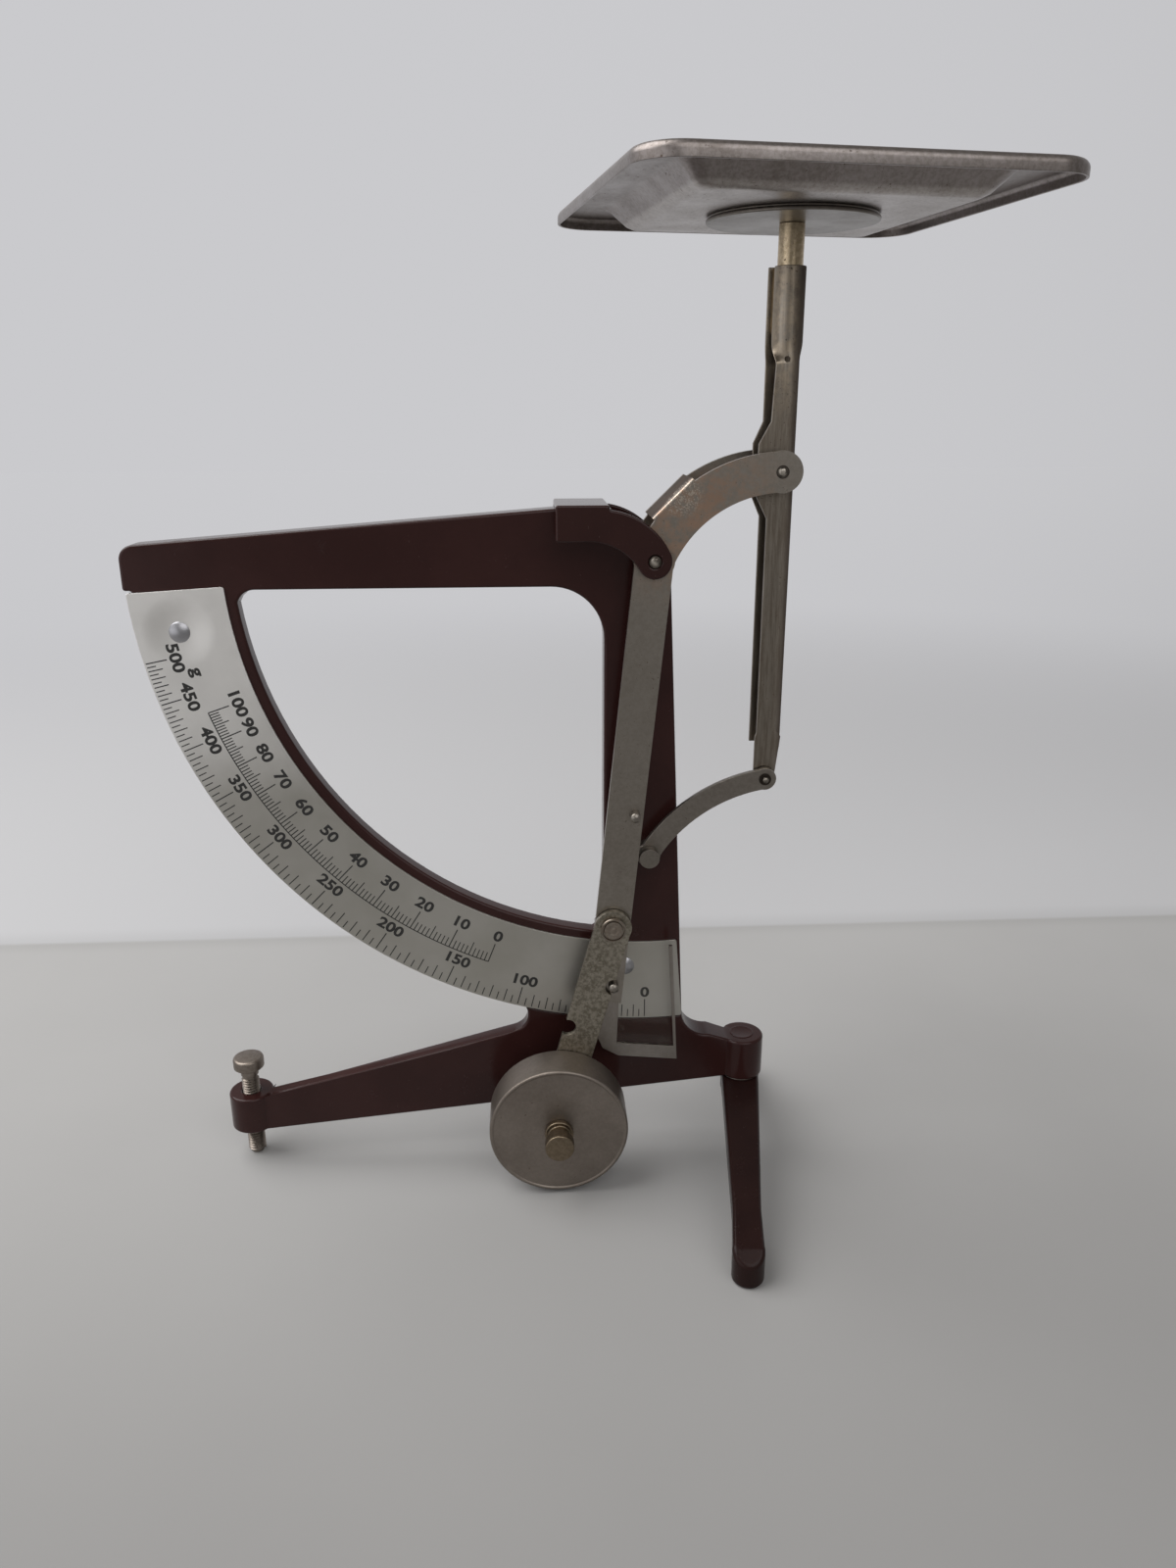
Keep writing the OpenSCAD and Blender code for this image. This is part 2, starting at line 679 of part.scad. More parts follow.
module pivot_bracket() color(lacquer) placed() difference() {
    union() {
        slab(bracket_front_y0, bracket_front_y1) bracket_cheek();
        slab(bracket_rear_y0, bracket_rear_y1) bracket_cheek();
        slab(bracket_front_y0, bracket_rear_y1) translate([-strap_x, seat_z]) square([strap_w, bracket_t]);
    }
    rod([0, 0], bracket_front_y0 - cut, bracket_rear_y1 + cut, pivot_pin_r + seat_fit);
    rod(bracket_screw_pin, bracket_rear_y0 - cut, bracket_rear_y1 + cut, bracket_screw_r + seat_fit);
}

slot_w = 0.8;
slot_depth = 0.9;

module bracket_screw() color(plated) placed() difference() {
    union() {
        rod(bracket_screw_pin, frame_mid + cut, bracket_rear_y1, bracket_screw_r);
        rod(bracket_screw_pin, bracket_rear_y1, bracket_rear_y1 + head_h * 1.4, bracket_screw_head_r);
    }
    translate([bracket_screw_pin[0], bracket_rear_y1 + head_h * 1.4, bracket_screw_pin[1]])
        cube([3 * bracket_screw_head_r, 2 * slot_depth, slot_w], center = true);
}

pin_proud = 0.4;

module main_pivot_pin() color(plated) placed() {
    rod([0, 0], bracket_front_y0 - pin_proud, bracket_rear_y1 + pin_proud, pivot_pin_r);
}

module pivot_bush() color(plated) placed() {
    sleeve([0, 0], lever_front_y1, lever_rear_y0, pivot_pin_r + run_fit + bush_wall, pivot_pin_r + run_fit);
}

module upper_arm_outline() {
    arched_strip([0, 0], pin_a, arch_r, lever_w);
    circle(r = lever_w / 2 + hub_over);
    translate(pin_a) circle(r = lever_end_r);
}

module lower_arm_outline() {
    rotate(-lever_lean) translate([-lever_w / 2, -lever_len]) square([lever_w, lever_len]);
}

// Folded web between the cheeks, a little proud of the arch's outer edge
module bridge_outline() {
    d = pin_a;
    n = [d[1], -d[0]] / norm(d);
    c = d / 2 + n * (arch_r - arch_rise);
    a = atan2(-c[1], -c[0]) - bridge_angle;
    translate(c) rotate(a) translate([arch_r + lever_w / 2 + hub_over - lever_t, -bridge_len / 2])
        square([lever_t, bridge_len]);
}

module lever() color(plated) placed() difference() {
    union() {
        slab(lever_front_y0, lever_front_y1) union() {
            upper_arm_outline();
            lower_arm_outline();
        }
        slab(lever_rear_y0, lever_rear_y1) upper_arm_outline();
        slab(lever_front_y0, lever_rear_y1) bridge_outline();
    }
    rod([0, 0], lever_front_y0 - cut, lever_rear_y1 + cut, pivot_pin_r + run_fit);
    rod(pin_a, lever_front_y0 - cut, lever_rear_y1 + cut, post_pin_r + seat_fit);
    rod(flip_pin, lever_front_y0 - cut, lever_front_y1 + cut, flip_rivet_r + seat_fit);
    rod(lower_stop, lever_front_y0 - cut, lever_front_y1 + cut, stop_pin_r + seat_fit);
    rod(upper_stop, lever_front_y0 - cut, lever_front_y1 + cut, stop_pin_r + seat_fit);
}

module pointer_outline() {
    sill_right = index_edge(window_bottom) + index_w;
    foot_left = window_sill(window_left) - window_foot_h;
    difference() {
        polygon([
            [window_left, window_top],
            [window_left, foot_left + window_corner_r],
            [window_left + window_corner_r * 0.3, foot_left + window_corner_r * 0.3],
            [window_left + window_corner_r, window_sill(window_left + window_corner_r) - window_foot_h],
            [sill_right, window_sill(sill_right) - window_foot_h],
            [index_edge(window_top) + index_w, window_top]
        ]);
        polygon([
            [window_bar_right, window_sill(window_bar_right)],
            [index_edge(window_bottom), window_sill(index_edge(window_bottom))],
            [index_edge(window_top + cut), window_top + cut],
            [window_bar_right + window_bar_flare, window_top + cut]
        ]);
    }
}

module pointer_frame() color(plated) placed() difference() {
    slab(lever_front_y1, pointer_y1) pointer_outline();
    rod(lower_stop, lever_front_y1 - cut, pointer_y1 + cut, stop_pin_r + seat_fit);
}

pane_edge = 0.3;

module reading_pane() color([0.85, 0.9, 0.9, 0.4]) placed() {
    pane_right = index_edge(window_bottom) - pane_edge;
    slab(pointer_y1, pane_y1) polygon([
        [window_bar_right - window_bar_w / 2, window_sill(window_bar_right) - window_foot_h / 2],
        [pane_right, window_sill(pane_right) - window_foot_h / 2],
        [index_edge(window_top) - pane_edge, window_top - pane_edge],
        [window_left + pane_edge, window_top - pane_edge],
        [window_left + pane_edge, window_bottom + window_corner_r]
    ]);
}

module weight_arm() color(plated) placed() difference() {
    slab(arm_y0, arm_y1) difference() {
        union() {
            translate(flip_pin) rotate(-arm_lean) translate([-weight_arm_half, -weight_reach])
                square([2 * weight_arm_half, weight_reach]);
            translate(flip_pin) circle(r = weight_arm_half + play);
            translate(disc_pin) circle(r = weight_arm_half);
        }
        translate(lower_stop) circle(r = stop_notch_r);
        translate(upper_notch) circle(r = stop_notch_r);
    }
    rod(flip_pin, arm_y0 - cut, arm_y1 + cut, flip_rivet_r + run_fit);
    rod(disc_pin, arm_y0 - cut, arm_y1 + cut, knob_stud_r + seat_fit);
}

module weight_rivet() color(plated) placed() {
    rod(flip_pin, arm_y0 - play, lever_front_y1, flip_rivet_r);
    dome(flip_pin, arm_y0 - play, -1, flip_rivet_head_r, head_h);
    rod(flip_pin, lever_front_y1, lever_front_y1 + head_h / 2, flip_rivet_r * 1.3);
}

module stop_pin(p, y1) {
    rod(p, stop_y0 + stop_pin_r / 2, y1, stop_pin_r);
    dome(p, stop_y0 + stop_pin_r / 2, -1, stop_pin_r, stop_pin_r / 2);
}

module lower_stop_pin() color(plated) placed() stop_pin(lower_stop, pointer_y1);

module upper_stop_pin() color(plated) placed() stop_pin(upper_stop, lever_front_y1);

disc_edge = 0.8;

module counterweight() color(plated) placed() translate([disc_pin[0], arm_y0, disc_pin[1]])
    rotate([90, 0, 0]) difference() {
        rotate_extrude($fn = 120) polygon([
            [0, 0],
            [weight_r - disc_edge, 0],
            [weight_r, disc_edge],
            [weight_r, weight_t - disc_edge],
            [weight_r - disc_edge, weight_t],
            [weight_r - weight_rim_w, weight_t],
            [weight_r - weight_rim_w - weight_dish, weight_t - weight_dish],
            [0, weight_t - weight_dish]
        ]);
        translate([0, 0, -cut]) cylinder(h = weight_t + 2 * cut, r = knob_stud_r + seat_fit);
    }

module weight_knob() color(brassy) placed() translate([disc_pin[0], arm_y1, disc_pin[1]])
    rotate([90, 0, 0]) {
        face = weight_arm_t + weight_t - weight_dish;
        collar = 1.6;
        grip = 3.2;
        cylinder(h = face, r = knob_stud_r);
        translate([0, 0, face]) cylinder(h = collar, r = knob_r);
        translate([0, 0, face]) cylinder(h = knob_len, r = knob_neck_r);
        translate([0, 0, face + knob_len - grip]) cylinder(h = grip, r = knob_r);
    }

// Ear that widens a side of the channel to the left, round the post's pin
module post_ear_outline() {
    left = post_web_x - post_w;
    polygon([
        [left + post_bend_r, -post_ear_h],
        [left + post_bend_r, post_ear_h],
        [left, post_ear_h],
        [left - post_ear, post_ear_h * 0.55],
        [left - post_ear, -post_ear_h * 0.55],
        [left, -post_ear_h]
    ]);
}

// The channel seen from above, about the post's pin: open on the left, with two round bends
module channel_section() {
    left = post_web_x - post_w;
    bend_x = post_web_x - post_bend_r;
    bend_y = post_d / 2 - post_bend_r;
    inner_r = post_bend_r - post_t;
    difference() {
        polygon(concat(
            [[left, -post_d / 2]],
            arc([bend_x, -bend_y], post_bend_r, -90, 0, 8),
            arc([bend_x, bend_y], post_bend_r, 0, 90, 8),
            [[left, post_d / 2]]
        ));
        polygon(concat(
            [[left - cut, post_t - post_d / 2]],
            arc([bend_x, -bend_y], inner_r, -90, 0, 8),
            arc([bend_x, bend_y], inner_r, 0, 90, 8),
            [[left - cut, post_d / 2 - post_t]]
        ));
    }
}

// Flat lug that carries the front side of the channel down to the link
module post_lug() {
    translate([-lug_w / 2, -guide_len]) square([lug_w, guide_len - channel_drop + cut]);
    translate([0, -guide_len]) circle(r = lug_w / 2);
}

module post() color(plated) placed() difference() {
    union() {
        translate([pin_a[0], mid_y, pin_a[1] - channel_drop])
            linear_extrude(channel_drop + tube_bottom + cut) channel_section();
        slab(post_y0, post_y0 + post_t) translate(pin_a) post_ear_outline();
        slab(post_y1 - post_t, post_y1) translate(pin_a) post_ear_outline();
        slab(post_y0, post_y0 + post_t) translate(pin_a) post_lug();
        translate([stud_axis[0], stud_axis[1], pin_a[1] + tube_bottom]) difference() {
            cylinder(h = tube_len, r = tube_r);
            translate([0, 0, -cut]) cylinder(h = tube_len + 2 * cut, r = stud_r + run_fit);
        }
    }
    rod(pin_a, post_y0 - cut, post_y1 + cut, post_pin_r + run_fit);
    rod(pin_b, post_y0 - cut, post_y0 + post_t + cut, link_pin_r + seat_fit);
}

pin_head_t = 0.5;

module post_pin() color(plated) placed() {
    rod(pin_a, lever_front_y0, lever_rear_y1, post_pin_r);
    dome(pin_a, lever_front_y0, -1, post_pin_r * 1.5, pin_head_t);
    dome(pin_a, lever_rear_y1, 1, post_pin_r * 1.5, pin_head_t);
}

module post_spacers() color(plated) placed() {
    sleeve(pin_a, lever_front_y1, post_y0 - play, post_pin_r * 2, post_pin_r + seat_fit);
    sleeve(pin_a, post_y1 + play, lever_rear_y0, post_pin_r * 2, post_pin_r + seat_fit);
}

// The stud's spigot is riveted level with the tray's floor, so that a letter lies flat
module pan_stud() color(brassy) placed() translate([stud_axis[0], stud_axis[1], 0]) {
    translate([0, 0, pin_a[1] + post_top - stud_in]) cylinder(h = stud_in + stud_show, r = stud_r);
    translate([0, 0, disc_z]) cylinder(h = pan_z + pan_t - spigot_set - disc_z, r = spigot_r);
}

module pan_disc(z, t, r) {
    translate([stud_axis[0], stud_axis[1], z]) difference() {
        cylinder(h = t, r = r, $fn = 96);
        translate([0, 0, -cut]) cylinder(h = t + 2 * cut, r = spigot_r + seat_fit);
    }
}

module pan_support_disc() color(plated) placed() pan_disc(disc_z, disc_t, disc_r);

module pan_packing_disc() color(plated) placed() pan_disc(packing_z, packing_t, disc_r - side_gap);

// Ring of points round a square with rounded corners
corner_steps = 8;
function square_ring(half, r, z) = [
    for (q = [0:3], i = [0:corner_steps])
        let (a = 90 * q + 90 * i / corner_steps, s = [[1, 1], [-1, 1], [-1, -1], [1, -1]][q])
            [s[0] * (half - r) + r * cos(a), s[1] * (half - r) + r * sin(a), z]
];

// Closed skin through a list of rings, capped at the first and the last
module ring_skin(rings) {
    n = len(rings[0]);
    m = len(rings);
    polyhedron(
        points = [for (ring = rings) for (p = ring) p],
        faces = concat(
            [[for (i = [0:n - 1]) n - 1 - i]],
            [for (k = [0:m - 2]) for (i = [0:n - 1]) [k * n + i, k * n + (i + 1) % n, (k + 1) * n + i]],
            [for (k = [0:m - 2]) for (i = [0:n - 1])
                [k * n + (i + 1) % n, (k + 1) * n + (i + 1) % n, (k + 1) * n + i]],
            [[for (i = [0:n - 1]) (m - 1) * n + i]]
        )
    );
}

module pan() color(plated) placed() translate([stud_axis[0], stud_axis[1], pan_z])
    rotate([0, 0, pan_turn]) difference() {
        slope_top = pan_half - pan_border;
        floor_half = slope_top - pan_slope;
        slope_r = 0.42 * pan_corner_r;
        floor_r = 0.25 * pan_corner_r;
        top = pan_t + pan_depth;
        bend = 2 * pan_t;
        ring_skin([
            square_ring(floor_half, floor_r, 0),
            square_ring(slope_top, slope_r, top - pan_t),
            square_ring(pan_half - bend, pan_corner_r - bend, top - pan_t),
            square_ring(pan_half - pan_t, pan_corner_r - pan_t, top - bend),
            square_ring(pan_half - pan_t, pan_corner_r - pan_t, top - pan_rim),
            square_ring(pan_half, pan_corner_r, top - pan_rim),
            square_ring(pan_half, pan_corner_r, top - bend),
            square_ring(pan_half - bend / 2, pan_corner_r - bend / 2, top - bend / 4),
            square_ring(pan_half - bend, pan_corner_r - bend, top),
            square_ring(slope_top, slope_r, top),
            square_ring(floor_half, floor_r, pan_t)
        ]);
        translate([0, 0, -cut]) cylinder(h = pan_t + 2 * cut, r = spigot_r + seat_fit);
    }

module lower_link() color(plated) placed() difference() {
    union() {
        slab(link_y0, link_y1) arched_strip(pin_c, pin_b, link_arch_r, link_w);
        rod(pin_c, link_y0, link_y1, link_w / 2 + 2 * link_eye);
        rod(pin_b, link_y0, link_y1, link_w / 2 + link_eye);
    }
    rod(pin_c, link_y0 - cut, link_y1 + cut, link_pin_r + run_fit);
    rod(pin_b, link_y0 - cut, link_y1 + cut, link_pin_r + open_fit);
}

module link_frame_pin() color(plated) placed() {
    rod(pin_c, link_head_y1, frame_mid, link_pin_r);
    rod(pin_c, link_head_y0, link_head_y1, link_head_r);
}

module link_rivet() color(plated) placed() {
    rod(pin_b, link_head_y1, post_y0 + post_t, link_pin_r);
    dome(pin_b, link_head_y1, -1, link_pin_r * 1.7, head_h);
    dome(pin_b, post_y0 + post_t, 1, link_pin_r * 1.7, head_h * 0.6);
}

module link_spacer() color(plated) placed() {
    sleeve(pin_c, link_y1 + play, frame_y0, link_pin_r * 2, link_pin_r + seat_fit);
}

module link_washer() color(plated) placed() {
    sleeve(pin_b, post_y0 - link_washer_t, post_y0, link_pin_r * 1.9, link_pin_r + seat_fit);
}

module levelling_screw() color(plated) placed() translate([level_pin[0], level_pin[1], 0]) {
    head_z = screw_boss_top + level_up;
    tip = 0.8;
    translate([0, 0, table_z + tip]) cylinder(h = head_z - table_z - tip, r = level_r);
    translate([0, 0, table_z]) cylinder(h = tip, r1 = level_r - tip, r2 = level_r);
    translate([0, 0, head_z]) cylinder(h = level_head_h, r = level_head_r);
}

// The cross foot seen from above, as tall as its hub: the front leg points to -Y
module foot_plan() {
    tall = hub_top - table_z;
    waist = 0.8;
    cylinder(h = tall, r = foot_hub_r);
    for (leg = [-front_leg, rear_leg]) {
        linear_extrude(tall) polygon([
            [play - foot_hub_r, 0],
            [foot_hub_r - play, 0],
            [leg_waist_r, leg * waist],
            [foot_pad_r - play, leg],
            [play - foot_pad_r, leg],
            [-leg_waist_r, leg * waist]
        ]);
        translate([0, leg, 0]) cylinder(h = tall, r = foot_pad_r);
    }
}

// Side of the cross foot in y and z: an arched bar on two flat pads
module foot_side() {
    front_end = -front_leg - foot_pad_r;
    rear_end = rear_leg + foot_pad_r;
    hub_under = hub_top - leg_t - cut;
    polygon([
        [front_end, table_z],
        [front_end, table_z + pad_top * 0.7],
        [-front_leg, table_z + pad_top],
        [-foot_hub_r, hub_top],
        [foot_hub_r, hub_top],
        [rear_leg, table_z + pad_top],
        [rear_end, table_z + pad_top * 0.7],
        [rear_end, table_z],
        [rear_leg - foot_pad_r, table_z],
        [rear_leg - foot_pad_r - cut, table_z + pad_top - leg_t],
        [foot_hub_r + cut, hub_under],
        [-foot_hub_r - cut, hub_under],
        [-front_leg + foot_pad_r + cut, table_z + pad_top - leg_t],
        [-front_leg + foot_pad_r, table_z]
    ]);
}

module cross_foot() color(lacquer) placed() translate([foot_pin[0], foot_pin[1], 0])
    rotate([0, 0, -foot_turn]) difference() {
        intersection() {
            translate([0, 0, table_z]) foot_plan();
            translate([-foot_boss_r, 0, 0]) rotate([90, 0, 90]) linear_extrude(2 * foot_boss_r) foot_side();
        }
        translate([0, 0, table_z - cut]) cylinder(h = hub_top - table_z + 2 * cut, r = foot_rivet_r + run_fit);
    }

module foot_rivet() color(lacquer) placed() translate([foot_pin[0], foot_pin[1], 0]) {
    low = hub_top - leg_t - cut - play;
    high = boss_bottom + foot_boss_h;
    translate([0, 0, low]) cylinder(h = high - low, r = foot_rivet_r);
    translate([0, 0, low - head_h]) cylinder(h = head_h, r = foot_rivet_head_r);
    translate([0, 0, high]) cylinder(h = head_h / 2, r = foot_rivet_head_r);
}

module foot_washer() color(plated) placed() translate([foot_pin[0], foot_pin[1], boss_bottom - foot_washer_t])
    difference() {
        cylinder(h = foot_washer_t, r = foot_hub_r);
        translate([0, 0, -cut]) cylinder(h = foot_washer_t + 2 * cut, r = foot_rivet_r + seat_fit);
    }

frame();
pivot_bracket();
bracket_screw();
main_pivot_pin();
pivot_bush();
dial_plate();
dial_rivets();
lever();
pointer_frame();
reading_pane();
weight_arm();
weight_rivet();
lower_stop_pin();
upper_stop_pin();
counterweight();
weight_knob();
post();
post_pin();
post_spacers();
pan_stud();
pan_support_disc();
pan_packing_disc();
pan();
lower_link();
link_frame_pin();
link_spacer();
link_rivet();
link_washer();
levelling_screw();
cross_foot();
foot_rivet();
foot_washer();
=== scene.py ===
# Postal letter scale with a bent lever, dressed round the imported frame. The frame is in metres, +Z is
# up and the dial faces -Y. Places are worked out from the frame's own pieces, mostly from the main pin.
from math import atan2, cos, radians, sin

import bpy
from mathutils import Matrix, Vector


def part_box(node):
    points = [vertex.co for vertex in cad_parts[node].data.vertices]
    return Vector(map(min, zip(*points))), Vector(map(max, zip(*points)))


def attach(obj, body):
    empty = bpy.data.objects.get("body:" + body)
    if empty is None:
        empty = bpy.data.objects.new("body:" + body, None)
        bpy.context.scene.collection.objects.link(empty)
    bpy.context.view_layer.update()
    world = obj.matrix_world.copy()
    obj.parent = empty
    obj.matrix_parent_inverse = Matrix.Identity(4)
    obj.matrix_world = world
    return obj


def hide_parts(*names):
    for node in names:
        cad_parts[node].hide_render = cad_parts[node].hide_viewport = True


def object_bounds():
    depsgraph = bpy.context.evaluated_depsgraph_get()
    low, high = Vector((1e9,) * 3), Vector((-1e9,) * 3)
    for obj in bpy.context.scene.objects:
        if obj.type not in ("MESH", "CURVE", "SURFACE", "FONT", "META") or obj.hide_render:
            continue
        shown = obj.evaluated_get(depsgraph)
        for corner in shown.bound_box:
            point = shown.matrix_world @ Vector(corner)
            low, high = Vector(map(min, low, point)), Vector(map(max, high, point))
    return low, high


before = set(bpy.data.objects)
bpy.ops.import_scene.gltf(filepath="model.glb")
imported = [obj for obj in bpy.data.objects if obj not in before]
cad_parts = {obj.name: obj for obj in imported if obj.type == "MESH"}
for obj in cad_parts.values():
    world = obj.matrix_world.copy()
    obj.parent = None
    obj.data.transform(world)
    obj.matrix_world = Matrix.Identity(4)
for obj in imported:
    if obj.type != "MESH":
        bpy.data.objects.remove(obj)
cad_low, cad_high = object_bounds()


# Camera
# The photograph was taken from the front, a little left of the main pin and above it, looking down.
# Its place was found from the dial's printed divisions, whose law and plane are known.
mm = 0.001


def middle(node):
    """Middle of a node's box."""
    low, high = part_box(node)
    return (low + high) / 2


pivot = middle("main_pivot_pin")
face_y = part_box("dial_plate")[0].y
photo_height, photo_focal = 1600, 1157  # in the photograph's pixels
camera_place = Vector((pivot.x - 30 * mm, face_y - 274.9 * mm, pivot.z + 35.2 * mm))
camera_tilt, camera_roll, camera_pan = radians(71.44), radians(0.12), radians(-3.08)

camera = bpy.data.objects.new("photo_camera", bpy.data.cameras.new("photo_camera"))
bpy.context.scene.collection.objects.link(camera)
camera.data.lens = photo_focal / photo_height * camera.data.sensor_width
camera.location = camera_place
camera.rotation_euler = (camera_tilt, camera_roll, camera_pan)
camera.data.clip_start = 10 * mm
bpy.context.scene.camera = camera
bpy.context.scene.view_settings.view_transform = "Standard"


# Floor, room and lamps
# A pale matt table top against the wall of a plain pale room. The room is bright behind the object and
# at the window on the left. A wide lamp from the upper left and a weak fill give the soft shadows. The
# table top is painted darker towards the front, and a painted shadow runs along the foot of the wall.
class Wire:
    """A socket of a material or of the room. Sums and products of wires add their Math nodes."""

    def __init__(self, tree, end):
        self.tree = tree
        self.end = end

    def node(self, kind, settings, links, out=0):
        """One of a new node's outputs, after its settings and the values or links of its sockets."""
        made = self.tree.nodes.new("ShaderNode" + kind)
        for key, value in settings.items():
            setattr(made, key, value)
        for key, value in links.items():
            if isinstance(value, Wire):
                self.tree.links.new(value.end, made.inputs[key])
            else:
                made.inputs[key].default_value = value
        return Wire(self.tree, made.outputs[out])

    def math(self, operation, *terms):
        """A Math node's result."""
        return self.node("Math", {"operation": operation}, dict(enumerate(terms)))

    def __add__(self, other):
        return self.math("ADD", self, other)

    def __radd__(self, other):
        return self.math("ADD", other, self)

    def __sub__(self, other):
        return self.math("SUBTRACT", self, other)

    def __rsub__(self, other):
        return self.math("SUBTRACT", other, self)

    def __mul__(self, other):
        return self.math("MULTIPLY", self, other)

    def __rmul__(self, other):
        return self.math("MULTIPLY", other, self)

    def noise(self, scale, detail, roughness=0.55):
        """Noise from 0 to 1 at this place, scale in features per metre."""
        links = {"Vector": self, "Scale": scale, "Detail": detail, "Roughness": roughness}
        return self.node("TexNoise", {}, links)

    def above(self, low, high):
        """0 below low, 1 above high, smooth between."""
        return self.node("MapRange", {"interpolation_type": "SMOOTHSTEP"}, {0: self, 1: low, 2: high})

    def tint(self, first, second):
        """Colour that goes from first to second as this wire goes from 0 to 1."""
        links = {0: self, 6: first, 7: second}
        for key in (6, 7):
            if not isinstance(links[key], Wire):
                links[key] = (*links[key], 1)
        return self.node("Mix", {"data_type": "RGBA"}, links, out=2)

    def bump(self, height, strength=1.0):
        """Normal of a surface that this wire raises, by height metres where it is 1."""
        return self.node("Bump", {}, {"Height": self, "Distance": height, "Strength": strength})

    def part(self, axis):
        """This vector's share along an axis: 0 for x, 1 for y, 2 for z."""
        return self.node("SeparateXYZ", {}, {0: self}, out=axis)

    def vector(self, operation, *terms, out=0):
        """Vector maths on this wire and terms. Output 1 is the one that holds a number."""
        return self.node("VectorMath", {"operation": operation}, dict(enumerate((self, *terms))), out)


def surface(name):
    """A new material, its Principled shader and a wire with Object coordinates."""
    material = bpy.data.materials.new(name)
    material.use_nodes = True
    tree = material.node_tree
    place = Wire(tree, None).node("TexCoord", {}, {}, out=3)
    return material, tree.nodes["Principled BSDF"], place


def feed(shader, **sockets):
    """Sets or links the shader's sockets, named with _ for a blank."""
    for key, value in sockets.items():
        socket = shader.inputs[key.replace("_", " ")]
        if isinstance(value, Wire):
            value.tree.links.new(value.end, socket)
        elif isinstance(value, tuple):
            socket.default_value = (*value, 1)
        else:
            socket.default_value = value


table_size = 7.0
table_back = face_y + 141 * mm
seam_front, seam_back = table_back - 9 * mm, table_back + 14 * mm
fade_start, fade_end = 0.3, 1.0
near_shade = (0.21, 0.205, 0.20)
table_shade = (0.42, 0.415, 0.41)
wall_shade = (0.50, 0.50, 0.51)
room_dark, room_bright = (0.25, 0.245, 0.24), (0.59, 0.59, 0.61)
window_bright = (1.15, 1.15, 1.17)
ceiling_shade = (0.26, 0.25, 0.24)
behind_object, window_side, overhead = (-0.30, 0.95, 0.05), (-0.80, -0.60, 0.0), (0, 0, 1)


def toward(ray, direction):
    """How much a ray points in one direction, from -1 to 1."""
    return ray.vector("DOT_PRODUCT", direction, out=1)


def wall_light(ray):
    """Light of the room's walls where a ray points: bright behind the object, brightest at the window."""
    wall = toward(ray, behind_object).above(-0.6, 1.0).tint(room_dark, room_bright)
    return toward(ray, window_side).above(0.78, 1.0).tint(wall, window_bright)


bpy.ops.mesh.primitive_plane_add(size=table_size, location=(0, 0, 0))
table = bpy.context.object
table.name = "table_top"
material, shader, place = surface("pale_table")
depth = place.part(1)
paint = place.noise(9, 4).above(0.3, 0.7) * 0.25
# Painted shade: the table top is painted darker towards the front.
table_colour = (depth.above(-0.3, 0.12) * (1 - paint * 0.3)).tint(near_shade, table_shade)
# Painted shadow: a soft darker band along the foot of the wall.
wall_foot_shadow = depth.above(seam_front, table_back) * (1 - depth.above(table_back, seam_back))
two_tones = depth.above(table_back - 1 * mm, table_back + 2 * mm).tint(table_colour, wall_shade)
# Far off, the table glows with the room's light, brightest towards the window, so that it fades into the
# room.
far = place.vector("LENGTH", out=1).above(fade_start, fade_end)
feed(
    shader,
    Base_Color=far.tint((wall_foot_shadow * 0.16).tint(two_tones, near_shade), (0, 0, 0)),
    Emission_Color=(far * 0.93).tint((0, 0, 0), wall_light(place.vector("NORMALIZE"))),
    Emission_Strength=1.0,
    Roughness=0.6,
    Specular_IOR_Level=0.1,
)
table.data.materials.append(material)

world = bpy.data.worlds.new("room")
bpy.context.scene.world = world
world.use_nodes = True
sky = world.node_tree.nodes["Background"]
away = Wire(world.node_tree, None).node("TexCoord", {}, {}, out=0)
ceiling = toward(away, overhead).above(0.3, 0.75).tint(wall_light(away), ceiling_shade)
world.node_tree.links.new(ceiling.end, sky.inputs["Color"])
sky.inputs["Strength"].default_value = 1.0


def lamp(name, place, size, watts):
    """A round lamp that points at the middle of the object."""
    aim = (cad_low + cad_high) / 2
    light = bpy.data.lights.new(name, "AREA")
    light.shape = "DISK"
    light.size = size
    light.energy = watts
    made = bpy.data.objects.new(name, light)
    bpy.context.scene.collection.objects.link(made)
    made.location = place
    made.rotation_euler = (aim - Vector(place)).to_track_quat("-Z", "Y").to_euler()


lamp("window", place=(-0.8, 0.1, 1.2), size=1.5, watts=21.5)
lamp("fill", place=(0.3, -0.9, 0.9), size=1.2, watts=5)


# Casting
# One zinc die casting in glossy brown stoving lacquer: the beam, the column, the quarter ring behind
# the dial, the base arm and the two bosses. Its edges are slightly round under the thick lacquer.
def choose(*pieces):
    """Makes these the only chosen objects, the first of them the active one."""
    for other in bpy.context.selected_objects:
        other.select_set(False)
    for piece in pieces:
        piece.select_set(True)
    bpy.context.view_layer.objects.active = pieces[0]


def round_where(piece, radius, steps, test):
    """Rounds the edges whose two ends pass the test."""
    choose(piece)
    bpy.ops.object.mode_set(mode="EDIT")
    bpy.ops.mesh.select_mode(type="EDGE")
    bpy.ops.mesh.select_all(action="DESELECT")
    bpy.ops.object.mode_set(mode="OBJECT")
    for edge in piece.data.edges:
        first, last = (piece.data.vertices[i].co for i in edge.vertices)
        edge.select = test(first, last)
    bpy.ops.object.mode_set(mode="EDIT")
    bpy.ops.mesh.bevel(offset=radius, segments=steps, affect="EDGES", clamp_overlap=True)
    bpy.ops.object.mode_set(mode="OBJECT")


fine_merge = 0.002 * mm


